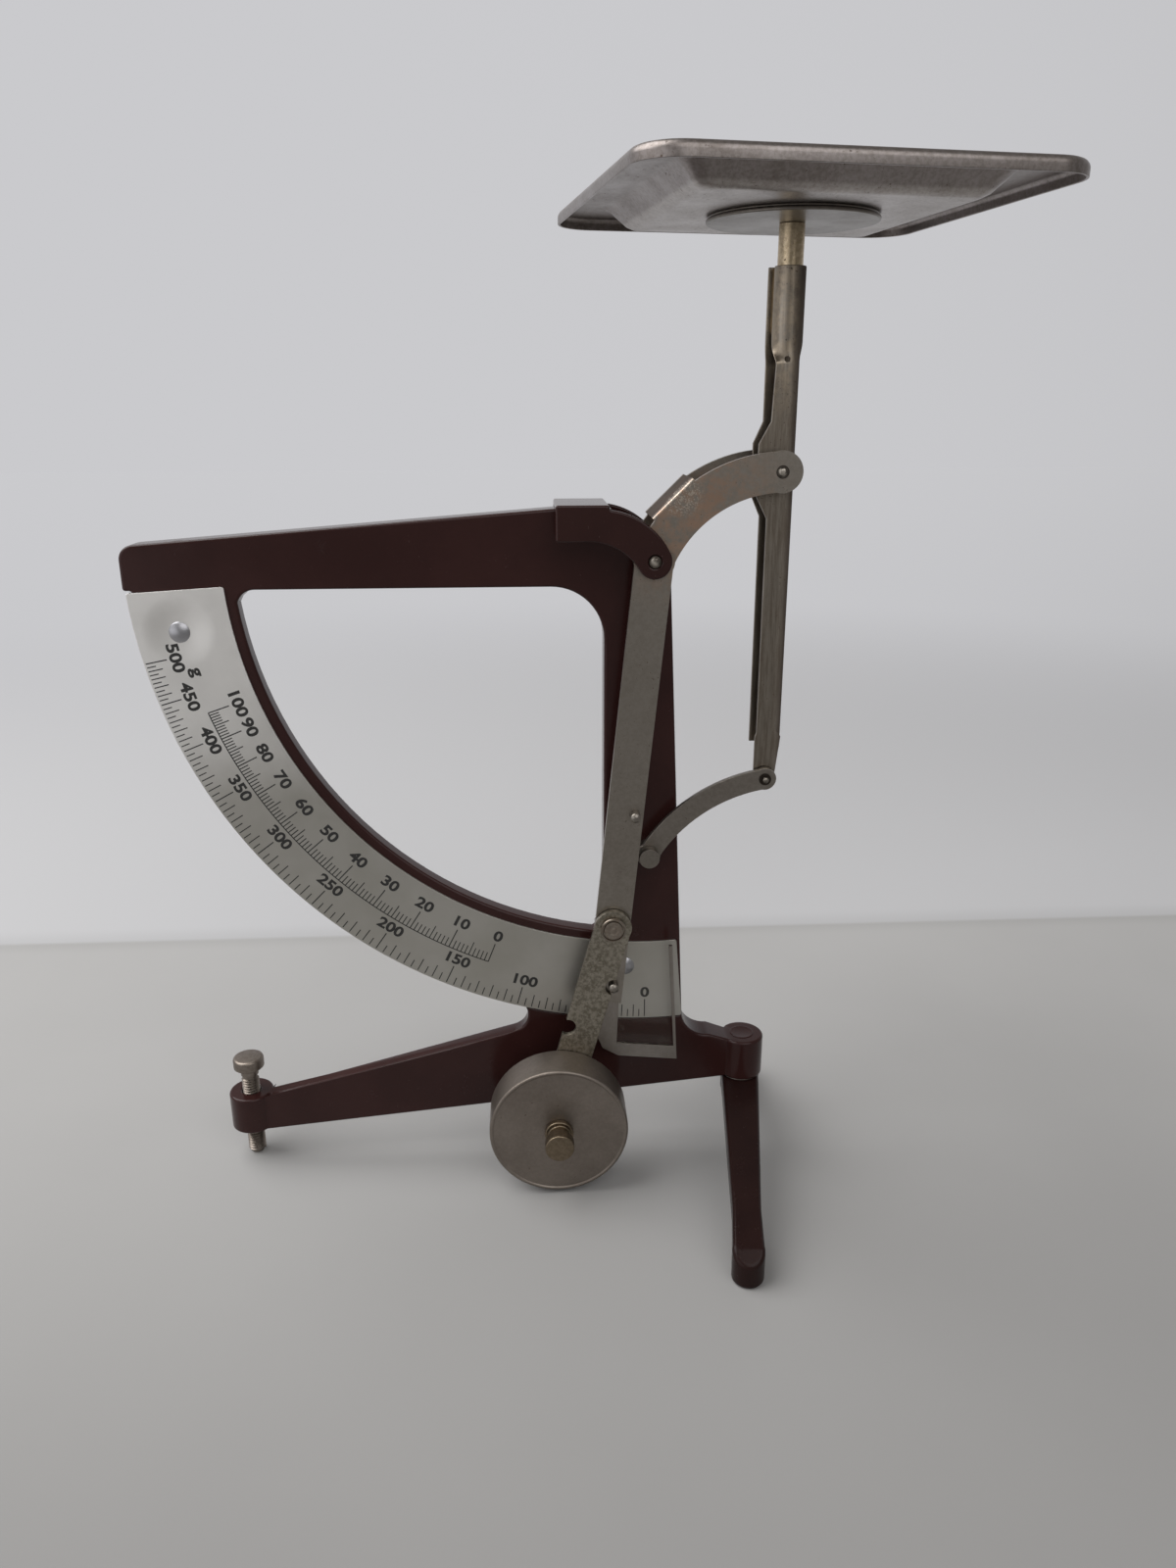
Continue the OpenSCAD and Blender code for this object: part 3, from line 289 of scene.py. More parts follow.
def dressed(node, name, edge, steps=2, bend=30, rounds=(), merge=fine_merge):
    """A copy of a CAD node, its triangles merged into faces, its sharp edges rounded inside its box.

    A coarse merge takes short edges out first, so that a wide rounding has room everywhere. Each of
    rounds is a radius, a number of steps and a test for edges that are rounded before the others.
    """
    piece = bpy.data.objects.new(name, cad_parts[node].data.copy())
    bpy.context.scene.collection.objects.link(piece)
    choose(piece)
    bpy.ops.object.mode_set(mode="EDIT")
    bpy.ops.mesh.select_all(action="SELECT")
    bpy.ops.mesh.customdata_custom_splitnormals_clear()
    bpy.ops.mesh.remove_doubles(threshold=merge)
    bpy.ops.mesh.dissolve_limited(angle_limit=radians(0.4))
    bpy.ops.object.mode_set(mode="OBJECT")
    piece.data.materials.clear()
    for radius, round_steps, test in rounds:
        round_where(piece, radius, round_steps, test)
    soften(piece, edge, steps, bend, careful=(merge == fine_merge))
    low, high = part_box(node)
    for vertex in piece.data.vertices:
        for i in range(3):
            vertex.co[i] = min(max(vertex.co[i], low[i]), high[i])
    settle(piece)
    return piece


def soften(piece, edge, steps, bend, careful=True):
    """Rounds every edge that is sharper than bend, careful where short edges leave little room."""
    choose(piece)
    bevel = piece.modifiers.new("soften", "BEVEL")
    bevel.width = edge
    bevel.segments = steps
    bevel.limit_method = "ANGLE"
    bevel.angle_limit = radians(bend)
    bevel.miter_outer = "MITER_ARC"
    bevel.use_clamp_overlap = careful
    bpy.ops.object.modifier_apply(modifier=bevel.name)


def settle(piece, smooth=40):
    """Smooth shading that keeps flat faces flat."""
    choose(piece)
    bpy.ops.object.shade_smooth_by_angle(angle=radians(smooth))
    weight = piece.modifiers.new("weight", "WEIGHTED_NORMAL")
    weight.keep_sharp = True
    bpy.ops.object.modifier_apply(modifier=weight.name)


def fit(piece, body, slot, material, *nodes):
    """Rides the piece on its body, gives it its finish and hides the nodes it stands for."""
    piece.data.materials.append(material)
    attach(piece, body)
    if nodes:
        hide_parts(*nodes)


dust_grey = (0.20, 0.17, 0.15)


def brown_lacquer(name, deep, thin, gloss, shine):
    """Stoving lacquer over a casting or sheet: slight orange peel, dust, and dull rubbed spots."""
    material, shader, place = surface(name)
    cloud = place.noise(45, 4)
    peel = place.noise(900, 2)
    dust = place.noise(2600, 2, 0.7).above(0.70, 0.78)
    rubbed = place.noise(130, 5, 0.7).above(0.58, 0.75)
    colour = cloud.above(0.35, 0.65).tint(deep, thin)
    feed(
        shader,
        Base_Color=(dust * 0.35).tint(colour, dust_grey),
        Roughness=gloss + rubbed * 0.16 + dust * 0.3,
        Normal=(peel + cloud * 0.6).bump(0.02 * mm, 0.5),
        Specular_IOR_Level=shine,
    )
    return material


casting_deep, casting_thin = (0.0275, 0.0095, 0.0085), (0.0345, 0.0125, 0.0112)
casting_lacquer = brown_lacquer("casting_lacquer", casting_deep, casting_thin, gloss=0.18, shine=0.24)
casting = dressed("frame", "casting", edge=0.7 * mm, steps=4, bend=50, merge=0.6 * mm)
fit(casting, "stand", "lacquer", casting_lacquer, "frame")


# Yoke
# A folded steel strap in the same brown lacquer that straddles the beam and holds the main pin
# between its cheeks. Its bends are round, and its top is polished by handling.
yoke_deep, yoke_thin = (0.0255, 0.009, 0.008), (0.0325, 0.012, 0.0103)
yoke_lacquer = brown_lacquer("yoke_lacquer", yoke_deep, yoke_thin, gloss=0.16, shine=0.26)
yoke = dressed("pivot_bracket", "yoke", edge=0.5 * mm, steps=4, bend=50, merge=0.3 * mm)
fit(yoke, "stand", "yoke_lacquer", yoke_lacquer, "pivot_bracket")


# Sheet steel lever
# Folded from nickel-plated sheet, now dull: a long lower arm, an arched upper arm with two cheeks and
# the bridge between them. The plating is pitted, and rust stains the arch by the bridge. The bridge and
# the space between the cheeks are painted dark as shade, and painted glints stand along the fold.
pit_brown = (0.075, 0.05, 0.035)


def plated_steel(
    name, bright, dull, rough, pits=0.0, mottle=0.3, flow=(1, 1, 1), stain_and_highlight=None, painted_shade=None, painted_glint=None
):
    """Worn nickel plating: clouds, mottling along the flow, pits, a stain and highlight patch, painted
    shade, painted glints.

    A stain and highlight patch and a painted glint are a place, its reach and a colour. A band of painted
    shade is an axis, its start, its end, how soft these are, and a colour.
    """
    material, shader, place = surface(name)
    cloud = place.noise(60, 5, 0.65).above(0.3, 0.7)
    grain = place.vector("MULTIPLY", flow).noise(1100, 4, 0.7)
    pitted_area = place.noise(150, 4, 0.7).above(0.40, 0.62)
    pit = place.noise(1500, 2, 0.6).above(0.70 - pits, 0.76 - pits) * pitted_area
    colour = (cloud * (1 - mottle) + grain.above(0.38, 0.62) * mottle).tint(bright, dull)
    # A stain on most parts; on the post's tube a painted highlight.
    if stain_and_highlight:
        spot, reach, patch_colour = stain_and_highlight
        near = 1 - place.vector("DISTANCE", spot, out=1).above(reach * 0.15, reach)
        colour = (near * place.noise(330, 5, 0.75).above(0.36, 0.62) * 0.85).tint(colour, patch_colour)
    pits_and_shade = pit
    # A band of painted shade: darker, duller and less metallic between its start and its end.
    if painted_shade:
        axis, start, end, soft, dark = painted_shade
        along = place.part(axis)
        shaded_band = along.above(start, start + soft) * (1 - along.above(end - soft, end))
        colour = (shaded_band * 0.85).tint(colour, dark)
        pits_and_shade = pit.math("MAXIMUM", pit, shaded_band * 1.2)
    # Painted glints: bright specks painted into the colour near a place.
    if painted_glint:
        spot, reach, shine = painted_glint
        near = 1 - place.vector("DISTANCE", spot, out=1).above(reach * 0.5, reach)
        colour = (near * place.noise(2400, 2, 0.7).above(0.52, 0.58)).tint(colour, shine)
    feed(
        shader,
        Base_Color=pit.tint(colour, pit_brown),
        Metallic=1 - pits_and_shade * 0.8,
        Roughness=rough + cloud * 0.1 + pits_and_shade * 0.3,
        Normal=(grain * 0.7 + cloud * 0.5 - pit).bump(0.03 * mm, 0.7),
        Specular_IOR_Level=0.12,
    )
    return material


rust_brown = (0.40, 0.265, 0.19)
glint_bright = (0.50, 0.43, 0.36)
bridge_shade = (0.02, 0.013, 0.010)
lever_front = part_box("lever")[0].y
arch_stain = (pivot.x + 9 * mm, lever_front, pivot.z + 11 * mm)
arch_glint = (pivot.x + 6 * mm, lever_front, pivot.z + 15 * mm)
arch_steel = plated_steel(
    "arch_steel", (0.33, 0.30, 0.265), (0.235, 0.21, 0.18), rough=0.32, pits=0.03,
    stain_and_highlight=(arch_stain, 27 * mm, rust_brown),
    # Painted shade on the bridge and between the cheeks.
    painted_shade=(1, face_y - 5.6 * mm, face_y + 9 * mm, 0.6 * mm, bridge_shade),
    # Painted glints along the fold by the bridge.
    painted_glint=(arch_glint, 6 * mm, glint_bright),
)


fold_shortest, fold_lowest = 7 * mm, pivot.z + 4 * mm
fold_flattest, fold_steepest = 0.48, 0.92  # rise for each length along the fold


def bridge_fold(first, last):
    """True for the long sloping folds between the bridge and the cheeks."""
    along = last - first
    across = abs(along.y) > 0.01 * mm
    if across or along.length < fold_shortest or min(first.z, last.z) < fold_lowest:
        return False
    return fold_flattest < abs(along.z / along.length) < fold_steepest


lever = dressed("lever", "lever_arm", edge=0.2 * mm, rounds=[(1.0 * mm, 5, bridge_fold)])
fit(lever, "lever", "plated_sheet", arch_steel, "lever")

pointer_steel = plated_steel("pointer_steel", (0.31, 0.285, 0.26), (0.25, 0.225, 0.2), rough=0.3)
pointer = dressed("pointer_frame", "pointer_window", edge=0.18 * mm)
fit(pointer, "lever", "plated_sheet", pointer_steel, "pointer_frame")


# Reading pane
# A thin clear celluloid pane behind the pointer window, slightly yellowed, held by its edges.
material, shader, place = surface("clear_pane")
feed(
    shader,
    Base_Color=(0.60, 0.58, 0.50),
    Roughness=0.04 + place.noise(300, 4).above(0.5, 0.8) * 0.12,
    Alpha=0.015 + place.noise(160, 4).above(0.55, 0.8) * 0.03,
    Specular_IOR_Level=0.2,
)
pane = dressed("reading_pane", "pane", edge=0.08 * mm, steps=1)
fit(pane, "lever", "pane", material, "reading_pane")


# Dial
# Satin aluminium sheet with its long edges turned back and its corners rounded, riveted to the
# casting's ring. The upper rivet pulls it in a little. A painted reflection makes it bright round that
# rivet and darker away from it.
material, shader, place = surface("satin_aluminium")
cloud = place.noise(35, 4, 0.6)
hair = place.noise(1800, 4, 0.8)
smear = place.noise(90, 5, 0.7).above(0.5, 0.75)
dial_rivet_r = 2.5 * mm
dial_rivets_low, dial_rivets_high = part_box("dial_rivets")
upper_rivet = (dial_rivets_low.x + dial_rivet_r, dial_rivets_low.y, dial_rivets_high.z - dial_rivet_r)
from_rivet = place.vector("DISTANCE", upper_rivet, out=1)
dish = from_rivet.above(1.5 * mm, 9 * mm)
# Painted reflection: the colour is bright round the upper rivet and darker away from it.
reflection_fade = (from_rivet + cloud * 12 * mm).above(24 * mm, 62 * mm)
reflecting_tone = cloud.above(0.3, 0.7).tint((0.85, 0.835, 0.81), (0.75, 0.735, 0.71))
faded_tone = cloud.above(0.3, 0.7).tint((0.47, 0.455, 0.42), (0.40, 0.385, 0.345))
feed(
    shader,
    Base_Color=reflection_fade.tint(reflecting_tone, faded_tone),
    Metallic=0.85,
    Roughness=0.34 + smear * 0.08 + hair * 0.06,
    Normal=(hair * 0.012 + cloud * 0.012 + dish * 0.5).bump(1 * mm),
)
plate = [vertex.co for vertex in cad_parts["dial_plate"].data.vertices]
upper_right = max(plate, key=lambda spot: spot.z + spot.x * 0.1)
upper_left = max(plate, key=lambda spot: spot.z - spot.x * 0.1)
right_upper = max(plate, key=lambda spot: spot.x + spot.z * 0.1)
right_lower = max(plate, key=lambda spot: spot.x)
plate_corners = (upper_right, upper_left, right_upper, right_lower)


def plate_corner(first, last):
    """True for the short upright edges at the plate's four corners."""
    return any(
        max(abs(end.x - spot.x) + abs(end.z - spot.z) for end in (first, last)) < 0.1 * mm
        for spot in plate_corners
    )


dial = dressed("dial_plate", "dial", edge=0.5 * mm, steps=4, rounds=[(1.1 * mm, 5, plate_corner)])
fit(dial, "stand", "dial", material, "dial_plate")


# Dial printing
# Black enamel: two rows of divisions and their numbers. The heavy range has a line for each 5 g at the
# outer edge, the light range one for each gram on its own arc. Both follow the bent lever's law.
short_arm_level = radians(31.5)  # the lever's turn from the plumb line at which its short arm is level
ink = 0.02 * mm
fine_line = 0.27 * mm
bold_line = 0.3 * mm


def division_angle(load, span, start):
    """Angle from the plumb line, in radians, at which the lever stands under a load."""
    along = span * sin(start) + load * cos(short_arm_level)
    down = span * cos(start) - load * sin(short_arm_level)
    return atan2(along, down)


def on_dial(angle, radius):
    """Place on the dial's face."""
    return Vector((pivot.x - radius * sin(angle), face_y, pivot.z - radius * cos(angle)))


def division(angle, inner, outer, width):
    """One printed line across the arc."""
    bpy.ops.mesh.primitive_cube_add(size=1)
    line = bpy.context.object
    turn = Matrix.Rotation(angle, 4, "Y")
    size = Matrix.Diagonal((width, ink, outer - inner, 1))
    line.data.transform(Matrix.Translation(on_dial(angle, (inner + outer) / 2)) @ turn @ size)
    return line


def gather(name, pieces):
    """Joins pieces into one mesh whose object stays at the origin."""
    choose(*pieces)
    if len(pieces) > 1:
        bpy.ops.object.join()
    joined = bpy.context.object
    joined.name = name
    return joined


# A span is the lever's own pull in a range, in grams on the tray, and a start is the angle of its zero.
heavy_span, heavy_start = 346.4, 0.0
light_span, light_start = 100.8, radians(21.6)
heavy_outer = 125.0 * mm
heavy_inner = {50: 119.8 * mm, 10: 121.4 * mm, 5: 122.8 * mm}
light_outer = 115.1 * mm
light_inner = {10: 109.6 * mm, 5: 111.2 * mm, 1: 112.6 * mm}

lines = []
for load in range(0, 505, 5):
    step = 50 if load % 50 == 0 else 10 if load % 10 == 0 else 5
    angle = division_angle(load, heavy_span, heavy_start)
    lines.append(division(angle, heavy_inner[step], heavy_outer, bold_line if step == 50 else fine_line))
for load in range(0, 101):
    step = 10 if load % 10 == 0 else 5 if load % 5 == 0 else 1
    angle = division_angle(load, light_span, light_start)
    lines.append(division(angle, light_inner[step], light_outer, bold_line if step == 10 else fine_line))
arc_pieces = 60
arc_step = (division_angle(100, light_span, light_start) - light_start) / arc_pieces
arc_inner, arc_outer = light_outer - fine_line / 2, light_outer + fine_line / 2
arc_width = light_outer * arc_step * 1.02
for i in range(arc_pieces):
    lines.append(division(light_start + arc_step * (i + 0.5), arc_inner, arc_outer, arc_width))
divisions = gather("dial_divisions", lines)


number_size = 4.05 * mm
number_wide = 1.2
stroke_gain = 0.14 * mm


def number(label, angle, radius):
    """A printed number or word that stands along the dial's radius."""
    bpy.ops.object.text_add()
    text = bpy.context.object
    text.data.body = label
    text.data.size = number_size
    text.data.align_x = "CENTER"
    text.data.align_y = "CENTER"
    text.data.extrude = ink / 2
    text.data.offset = stroke_gain
    text.data.resolution_u = 4
    choose(text)
    bpy.ops.object.convert(target="MESH")
    text = bpy.context.object
    upright = Matrix.Rotation(radians(90), 4, "X") @ Matrix.Scale(number_wide, 4, (1, 0, 0))
    turn = Matrix.Rotation(angle, 4, "Y")
    text.data.transform(Matrix.Translation(on_dial(angle, radius)) @ turn @ upright)
    return text


heavy_row = 117.75 * mm
light_row = 107.4 * mm
unit_row, unit_angle = 113.7 * mm, radians(76.5)
words = [
    number(str(load), division_angle(load, heavy_span, heavy_start), heavy_row)
    for load in (0, *range(50, 550, 50))
]
words += [
    number(str(load), division_angle(load, light_span, light_start), light_row)
    for load in range(0, 110, 10)
]
words.append(number("g", unit_angle, unit_row))
numbers = gather("dial_numbers", words)

material, shader, place = surface("black_enamel")
wear = place.noise(1400, 4, 0.7)
feed(
    shader,
    Base_Color=wear.above(0.3, 0.8).tint((0.012, 0.012, 0.012), (0.03, 0.028, 0.026)),
    Roughness=0.45 + wear * 0.2,
)
fit(divisions, "stand", "dial", material)
fit(numbers, "stand", "dial", material)


# Small fasteners
# Turned and headed parts: the pins and rivets of steel with worn nickel, the dial's two aluminium
# rivets. The weight's rivet is spun over in a press, which leaves rings on its flat head.
turned_steel = plated_steel("turned_steel", (0.29, 0.265, 0.235), (0.20, 0.18, 0.155), rough=0.3)
rivet_bright, rivet_dull = (0.42, 0.42, 0.44), (0.36, 0.36, 0.38)
rivet_aluminium = plated_steel("rivet_aluminium", rivet_bright, rivet_dull, rough=0.3, pits=-0.04)
small_edge = 0.15 * mm
fastener_nodes = {
    "stand": ("bracket_screw", "dial_rivets", "link_frame_pin", "link_spacer", "foot_washer"),
    "lever": ("pivot_bush", "lower_stop_pin", "upper_stop_pin", "post_spacers"),
    "post": ("link_washer",),
}
for body, nodes in fastener_nodes.items():
    for node in nodes:
        fastener = dressed(node, node + "_finished", small_edge)
        if node == "dial_rivets":
            fit(fastener, body, "rivet", rivet_aluminium, node)
        else:
            fit(fastener, body, "plated_turned", turned_steel, node)


def turned(name, centre, axis, stations, steps=64):
    """A turned piece: a disc extruded through stations of radius and distance along an axis."""
    radius, far = stations[0]
    bpy.ops.mesh.primitive_circle_add(vertices=steps, radius=radius, fill_type="NGON")
    piece = bpy.context.object
    piece.name = name
    bpy.ops.object.mode_set(mode="EDIT")
    bpy.ops.mesh.select_all(action="SELECT")
    bpy.ops.transform.translate(value=(0, 0, far))
    for next_radius, next_far in stations[1:]:
        bpy.ops.mesh.extrude_region_move(TRANSFORM_OT_translate={"value": (0, 0, next_far - far)})
        share = next_radius / radius
        bpy.ops.transform.resize(value=(share, share, 1), center_override=(0, 0, next_far))
        radius, far = next_radius, next_far
    bpy.ops.mesh.select_all(action="DESELECT")
    bpy.ops.mesh.select_non_manifold()
    bpy.ops.mesh.edge_face_add()
    bpy.ops.mesh.select_all(action="SELECT")
    bpy.ops.mesh.normals_make_consistent(inside=False)
    bpy.ops.object.mode_set(mode="OBJECT")
    aim = Vector(axis).to_track_quat("Z", "Y").to_matrix().to_4x4()
    piece.data.transform(Matrix.Translation(centre) @ aim)
    return piece


pin_tone_pale, pin_tone_deep = (0.06, 0.05, 0.042), (0.04, 0.032, 0.026)
rubbed_bright = (0.62, 0.57, 0.50)


def worn_pin(node, body, shaft_r, ring_r, end_r, head, tail):
    """A dark pin along Y whose rubbed bright end stands in a dark ring."""
    low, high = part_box(node)
    centre = middle(node)
    deep = high.y - low.y
    tail_r = (high.x - low.x) / 2
    ring_at = deep - head + 0.06 * mm
    tail_turning = [(tail_r * 0.3, 0), (tail_r * 0.8, 0.1 * mm), (tail_r, tail)]
    shaft_turning = [(shaft_r, tail + 0.01 * mm), (shaft_r, deep - head - 0.4 * mm)]
    ring_turning = [(ring_r, deep - head - 0.3 * mm), (ring_r, ring_at), (end_r + 0.12 * mm, ring_at)]
    end_turning = [(end_r, deep - head * 0.5), (end_r * 0.85, deep - head * 0.12), (end_r * 0.5, deep)]
    stations = tail_turning + shaft_turning + ring_turning + end_turning + [(0.08 * mm, deep)]
    pin = turned(node + "_finished", (centre.x, high.y, centre.z), (0, -1, 0), stations, steps=40)
    settle(pin, smooth=50)
    rubbed = ((centre.x, low.y, centre.z), end_r * 1.7, rubbed_bright)
    finish = plated_steel(node + "_steel", pin_tone_pale, pin_tone_deep, rough=0.32, stain_and_highlight=rubbed)
    fit(pin, body, "plated_turned", finish, node)


worn_pin(
    "main_pivot_pin", "stand",
    shaft_r=1.45 * mm, ring_r=1.45 * mm, end_r=1.0 * mm, head=0.4 * mm, tail=0.4 * mm,
)
worn_pin(
    "post_pin", "lever",
    shaft_r=1.45 * mm, ring_r=1.5 * mm, end_r=0.95 * mm, head=0.5 * mm, tail=0.5 * mm,
)
worn_pin(
    "link_rivet", "post",
    shaft_r=1.25 * mm, ring_r=1.5 * mm, end_r=0.8 * mm, head=1.0 * mm, tail=0.7 * mm,
)

rivet_low, rivet_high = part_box("weight_rivet")
rivet_deep = rivet_high.y - rivet_low.y
rivet_back = ((rivet_low.x + rivet_high.x) / 2, rivet_high.y, (rivet_low.z + rivet_high.z) / 2)
# Each ring of the rivet's turning is a radius and its depth below the end of the head, in mm.
rivet_rings = (
    (1.9, 1.2), (3.2, 1.1), (3.3, 0.9), (3.3, 0.3), (3.15, 0.08), (2.9, 0.08), (2.75, 0.5), (2.5, 0.5),
    (2.35, 0.1), (2.05, 0), (1.3, 0), (1.1, 0.15), (0.7, 0.15), (0.5, 0), (0.1, 0),
)
rivet_turning = [(1.9 * mm, 0)] + [(radius * mm, rivet_deep - depth * mm) for radius, depth in rivet_rings]
rivet_steel = plated_steel(
    "rivet_steel", (0.30, 0.265, 0.225), (0.20, 0.15, 0.115), rough=0.32, pits=0.02, mottle=0.5
)
big_rivet = turned("flip_rivet", rivet_back, (0, -1, 0), rivet_turning)
settle(big_rivet, smooth=50)
fit(big_rivet, "lever", "plated_turned", rivet_steel, "weight_rivet")


# Flip-over weight
# A zinc-plated steel arm with two notches for its stops, a heavy turned disc with a thin raised rim,
# and a turned brassy knob through both by which the arm is flipped.
arm_steel = plated_steel(
    "arm_steel", (0.36, 0.33, 0.275), (0.17, 0.15, 0.115), rough=0.36, pits=0.03, mottle=0.75
)
weight_arm = dressed("weight_arm", "flip_arm", edge=0.2 * mm)
fit(weight_arm, "weight", "plated_sheet", arm_steel, "weight_arm")

disc_low, disc_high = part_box("counterweight")
disc_r = (disc_high.x - disc_low.x) / 2
disc_deep = disc_high.y - disc_low.y
disc_face = disc_deep - 0.3 * mm
disc_back = ((disc_low.x + disc_high.x) / 2, disc_high.y, (disc_low.z + disc_high.z) / 2)
disc_turning = [
    (disc_r - 1.0 * mm, 0), (disc_r - 0.3 * mm, 0.1 * mm), (disc_r, 0.5 * mm),
    (disc_r, disc_deep - 0.55 * mm), (disc_r - 0.12 * mm, disc_deep - 0.2 * mm),
    (disc_r - 0.35 * mm, disc_deep - 0.04 * mm), (disc_r - 0.6 * mm, disc_deep),
    (disc_r - 0.85 * mm, disc_deep - 0.08 * mm), (disc_r - 1.0 * mm, disc_deep - 0.24 * mm),
    (disc_r - 1.15 * mm, disc_face), (disc_r - 6 * mm, disc_face), (5.2 * mm, disc_face),
    (0.5 * mm, disc_face),
]
disc_metal = plated_steel("disc_metal", (0.27, 0.235, 0.205), (0.205, 0.175, 0.15), rough=0.42)
disc = turned("disc", disc_back, (0, -1, 0), disc_turning, steps=120)
settle(disc, smooth=50)
fit(disc, "weight", "disc", disc_metal, "counterweight")

knob_brass = plated_steel("knob_brass", (0.235, 0.185, 0.13), (0.14, 0.11, 0.075), rough=0.3, mottle=0.5)
knob = dressed("weight_knob", "knob", edge=0.35 * mm, steps=3)
fit(knob, "weight", "knob", knob_brass, "weight_knob")


# Post
# Rolled from nickel-plated sheet: an open channel below with ears at the upper pin, wrapped to a tube
# with an open seam at the top, and a flat lug for the link at its foot.
def loft(name, rings, closed):
    """A skin through rings of points, each with as many points as the first."""
    count = len(rings[0])
    spans = count if closed else count - 1
    faces = [
        (k * count + i, k * count + (i + 1) % count, (k + 1) * count + (i + 1) % count, (k + 1) * count + i)
        for k in range(len(rings) - 1)
        for i in range(spans)
    ]
    mesh = bpy.data.meshes.new(name)
    mesh.from_pydata([point for ring in rings for point in ring], [], faces)
    skin = bpy.data.objects.new(name, mesh)
    bpy.context.scene.collection.objects.link(skin)
    return skin


def thicken(piece, sheet, edge):
    """Gives a skin its sheet's thickness on the inside and rounds the sheet's edges."""
    choose(piece)
    wall = piece.modifiers.new("sheet", "SOLIDIFY")
    wall.thickness = sheet
    wall.offset = -1
    bpy.ops.object.modifier_apply(modifier=wall.name)
    soften(piece, edge, steps=2, bend=50)
    settle(piece, smooth=50)


sheet = 0.9 * mm
post_axis = middle("pan_stud")
upper_pin = middle("post_pin")
lower_pin = middle("link_rivet")
post_low, post_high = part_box("post")
half_deep = (post_high.y - post_low.y) / 2
tube_r = 3.7 * mm
bend_r = 2.0 * mm
web_right = 2.8 * mm
flap_left = -4.4 * mm
flap_back = 2.9 * mm
flange_left = -3.9 * mm
ear_left = -6.1 * mm


def channel_ring(front_left, rear_left):
    """The open channel from its front edge round to its rear edge, about the stud's axis."""
    bend = [(bend_r * sin(radians(18 * i)), bend_r * cos(radians(18 * i))) for i in range(6)]
    straight = web_right - bend_r
    ring = [(front_left + (straight - front_left) * i / 5, -half_deep) for i in range(5)]
    ring += [(straight + x, bend_r - half_deep - y) for x, y in bend]
    ring += [(web_right, (half_deep - bend_r) * (i / 2 - 1)) for i in (1, 2, 3)]
    ring += [(straight + x, half_deep - bend_r + y) for x, y in reversed(bend)]
    ring += [(rear_left + (straight - rear_left) * (4 - i) / 5, half_deep) for i in range(5)]
    return ring


def tube_ring():
    """The tube with its seam on the left, where the rear edge stands out as a flap."""
    first, last, count = radians(-172), radians(128), 23
    angles = [first + (last - first) * i / (count - 1) for i in range(count)]
    ring = [(tube_r * cos(angle), tube_r * sin(angle)) for angle in angles]
    return ring + [(flap_left * 0.8, flap_back), (flap_left, flap_back)]


def post_ring(height, front_left, rear_left, share):
    """Ring at a height above the upper pin, wrapped to the tube by a share from 0 to 1."""
    return [
        (
            post_axis.x + flat_x + (round_x - flat_x) * share,
            post_axis.y + flat_y + (round_y - flat_y) * share,
            upper_pin.z + height,
        )
        for (flat_x, flat_y), (round_x, round_y) in zip(channel_ring(front_left, rear_left), tube_ring())
    ]


def flange_ring(height, setback, share=0.0):
    """Post ring whose front edge is set back from its rear edge, height and setback in mm."""
    return post_ring(height * mm, flange_left + setback * mm, flange_left, share)


rings = [
    flange_ring(-68.0, 0.4),
    flange_ring(-11.0, 0.4),
    post_ring(-6.0 * mm, ear_left, ear_left, 0.0),
    post_ring(6.0 * mm, ear_left, ear_left, 0.0),
    flange_ring(11.0, 0.5),
    flange_ring(23.5, 1.0),
    flange_ring(24.3, 0.9, 0.1),
    flange_ring(25.3, 0.7, 0.4),
    flange_ring(26.5, 0.5, 0.75),
    flange_ring(27.6, 0.4, 0.95),
    flange_ring(28.4, 0.4, 1.0),
    flange_ring(44.3, 0.4, 1.0),
]
post = loft("post_channel", rings, False)

lug_r, lug_rise, lug_flare = 2.7 * mm, 10 * mm, 0.45
bpy.ops.mesh.primitive_circle_add(vertices=32, radius=lug_r, fill_type="NGON")
lug = bpy.context.object
for vertex in lug.data.vertices:
    if vertex.co.y > 0:
        vertex.co.y += lug_rise
        vertex.co.x += max(0, vertex.co.x) * lug_flare
lug_place = Matrix.Translation((lower_pin.x, post_low.y + 0.03 * mm, lower_pin.z))
lug.data.transform(lug_place @ Matrix.Rotation(radians(90), 4, "X"))
sheet_edge = 0.15 * mm
thicken(lug, sheet, sheet_edge)
thicken(post, sheet, sheet_edge)

seam_hole_r = 0.7 * mm
seam_hole = (post_axis.x - 0.4 * mm, post_low.y, upper_pin.z + 24.6 * mm)
bpy.ops.mesh.primitive_cylinder_add(
    vertices=20, radius=seam_hole_r, depth=4 * mm, location=seam_hole, rotation=(radians(90), 0, 0)
)
drill = bpy.context.object
choose(post)
hole = post.modifiers.new("hole", "BOOLEAN")
hole.operation = "DIFFERENCE"
hole.object = drill
hole.solver = "EXACT"
bpy.ops.object.modifier_apply(modifier=hole.name)
bpy.data.objects.remove(drill)
post = gather("post_channel", [post, lug])

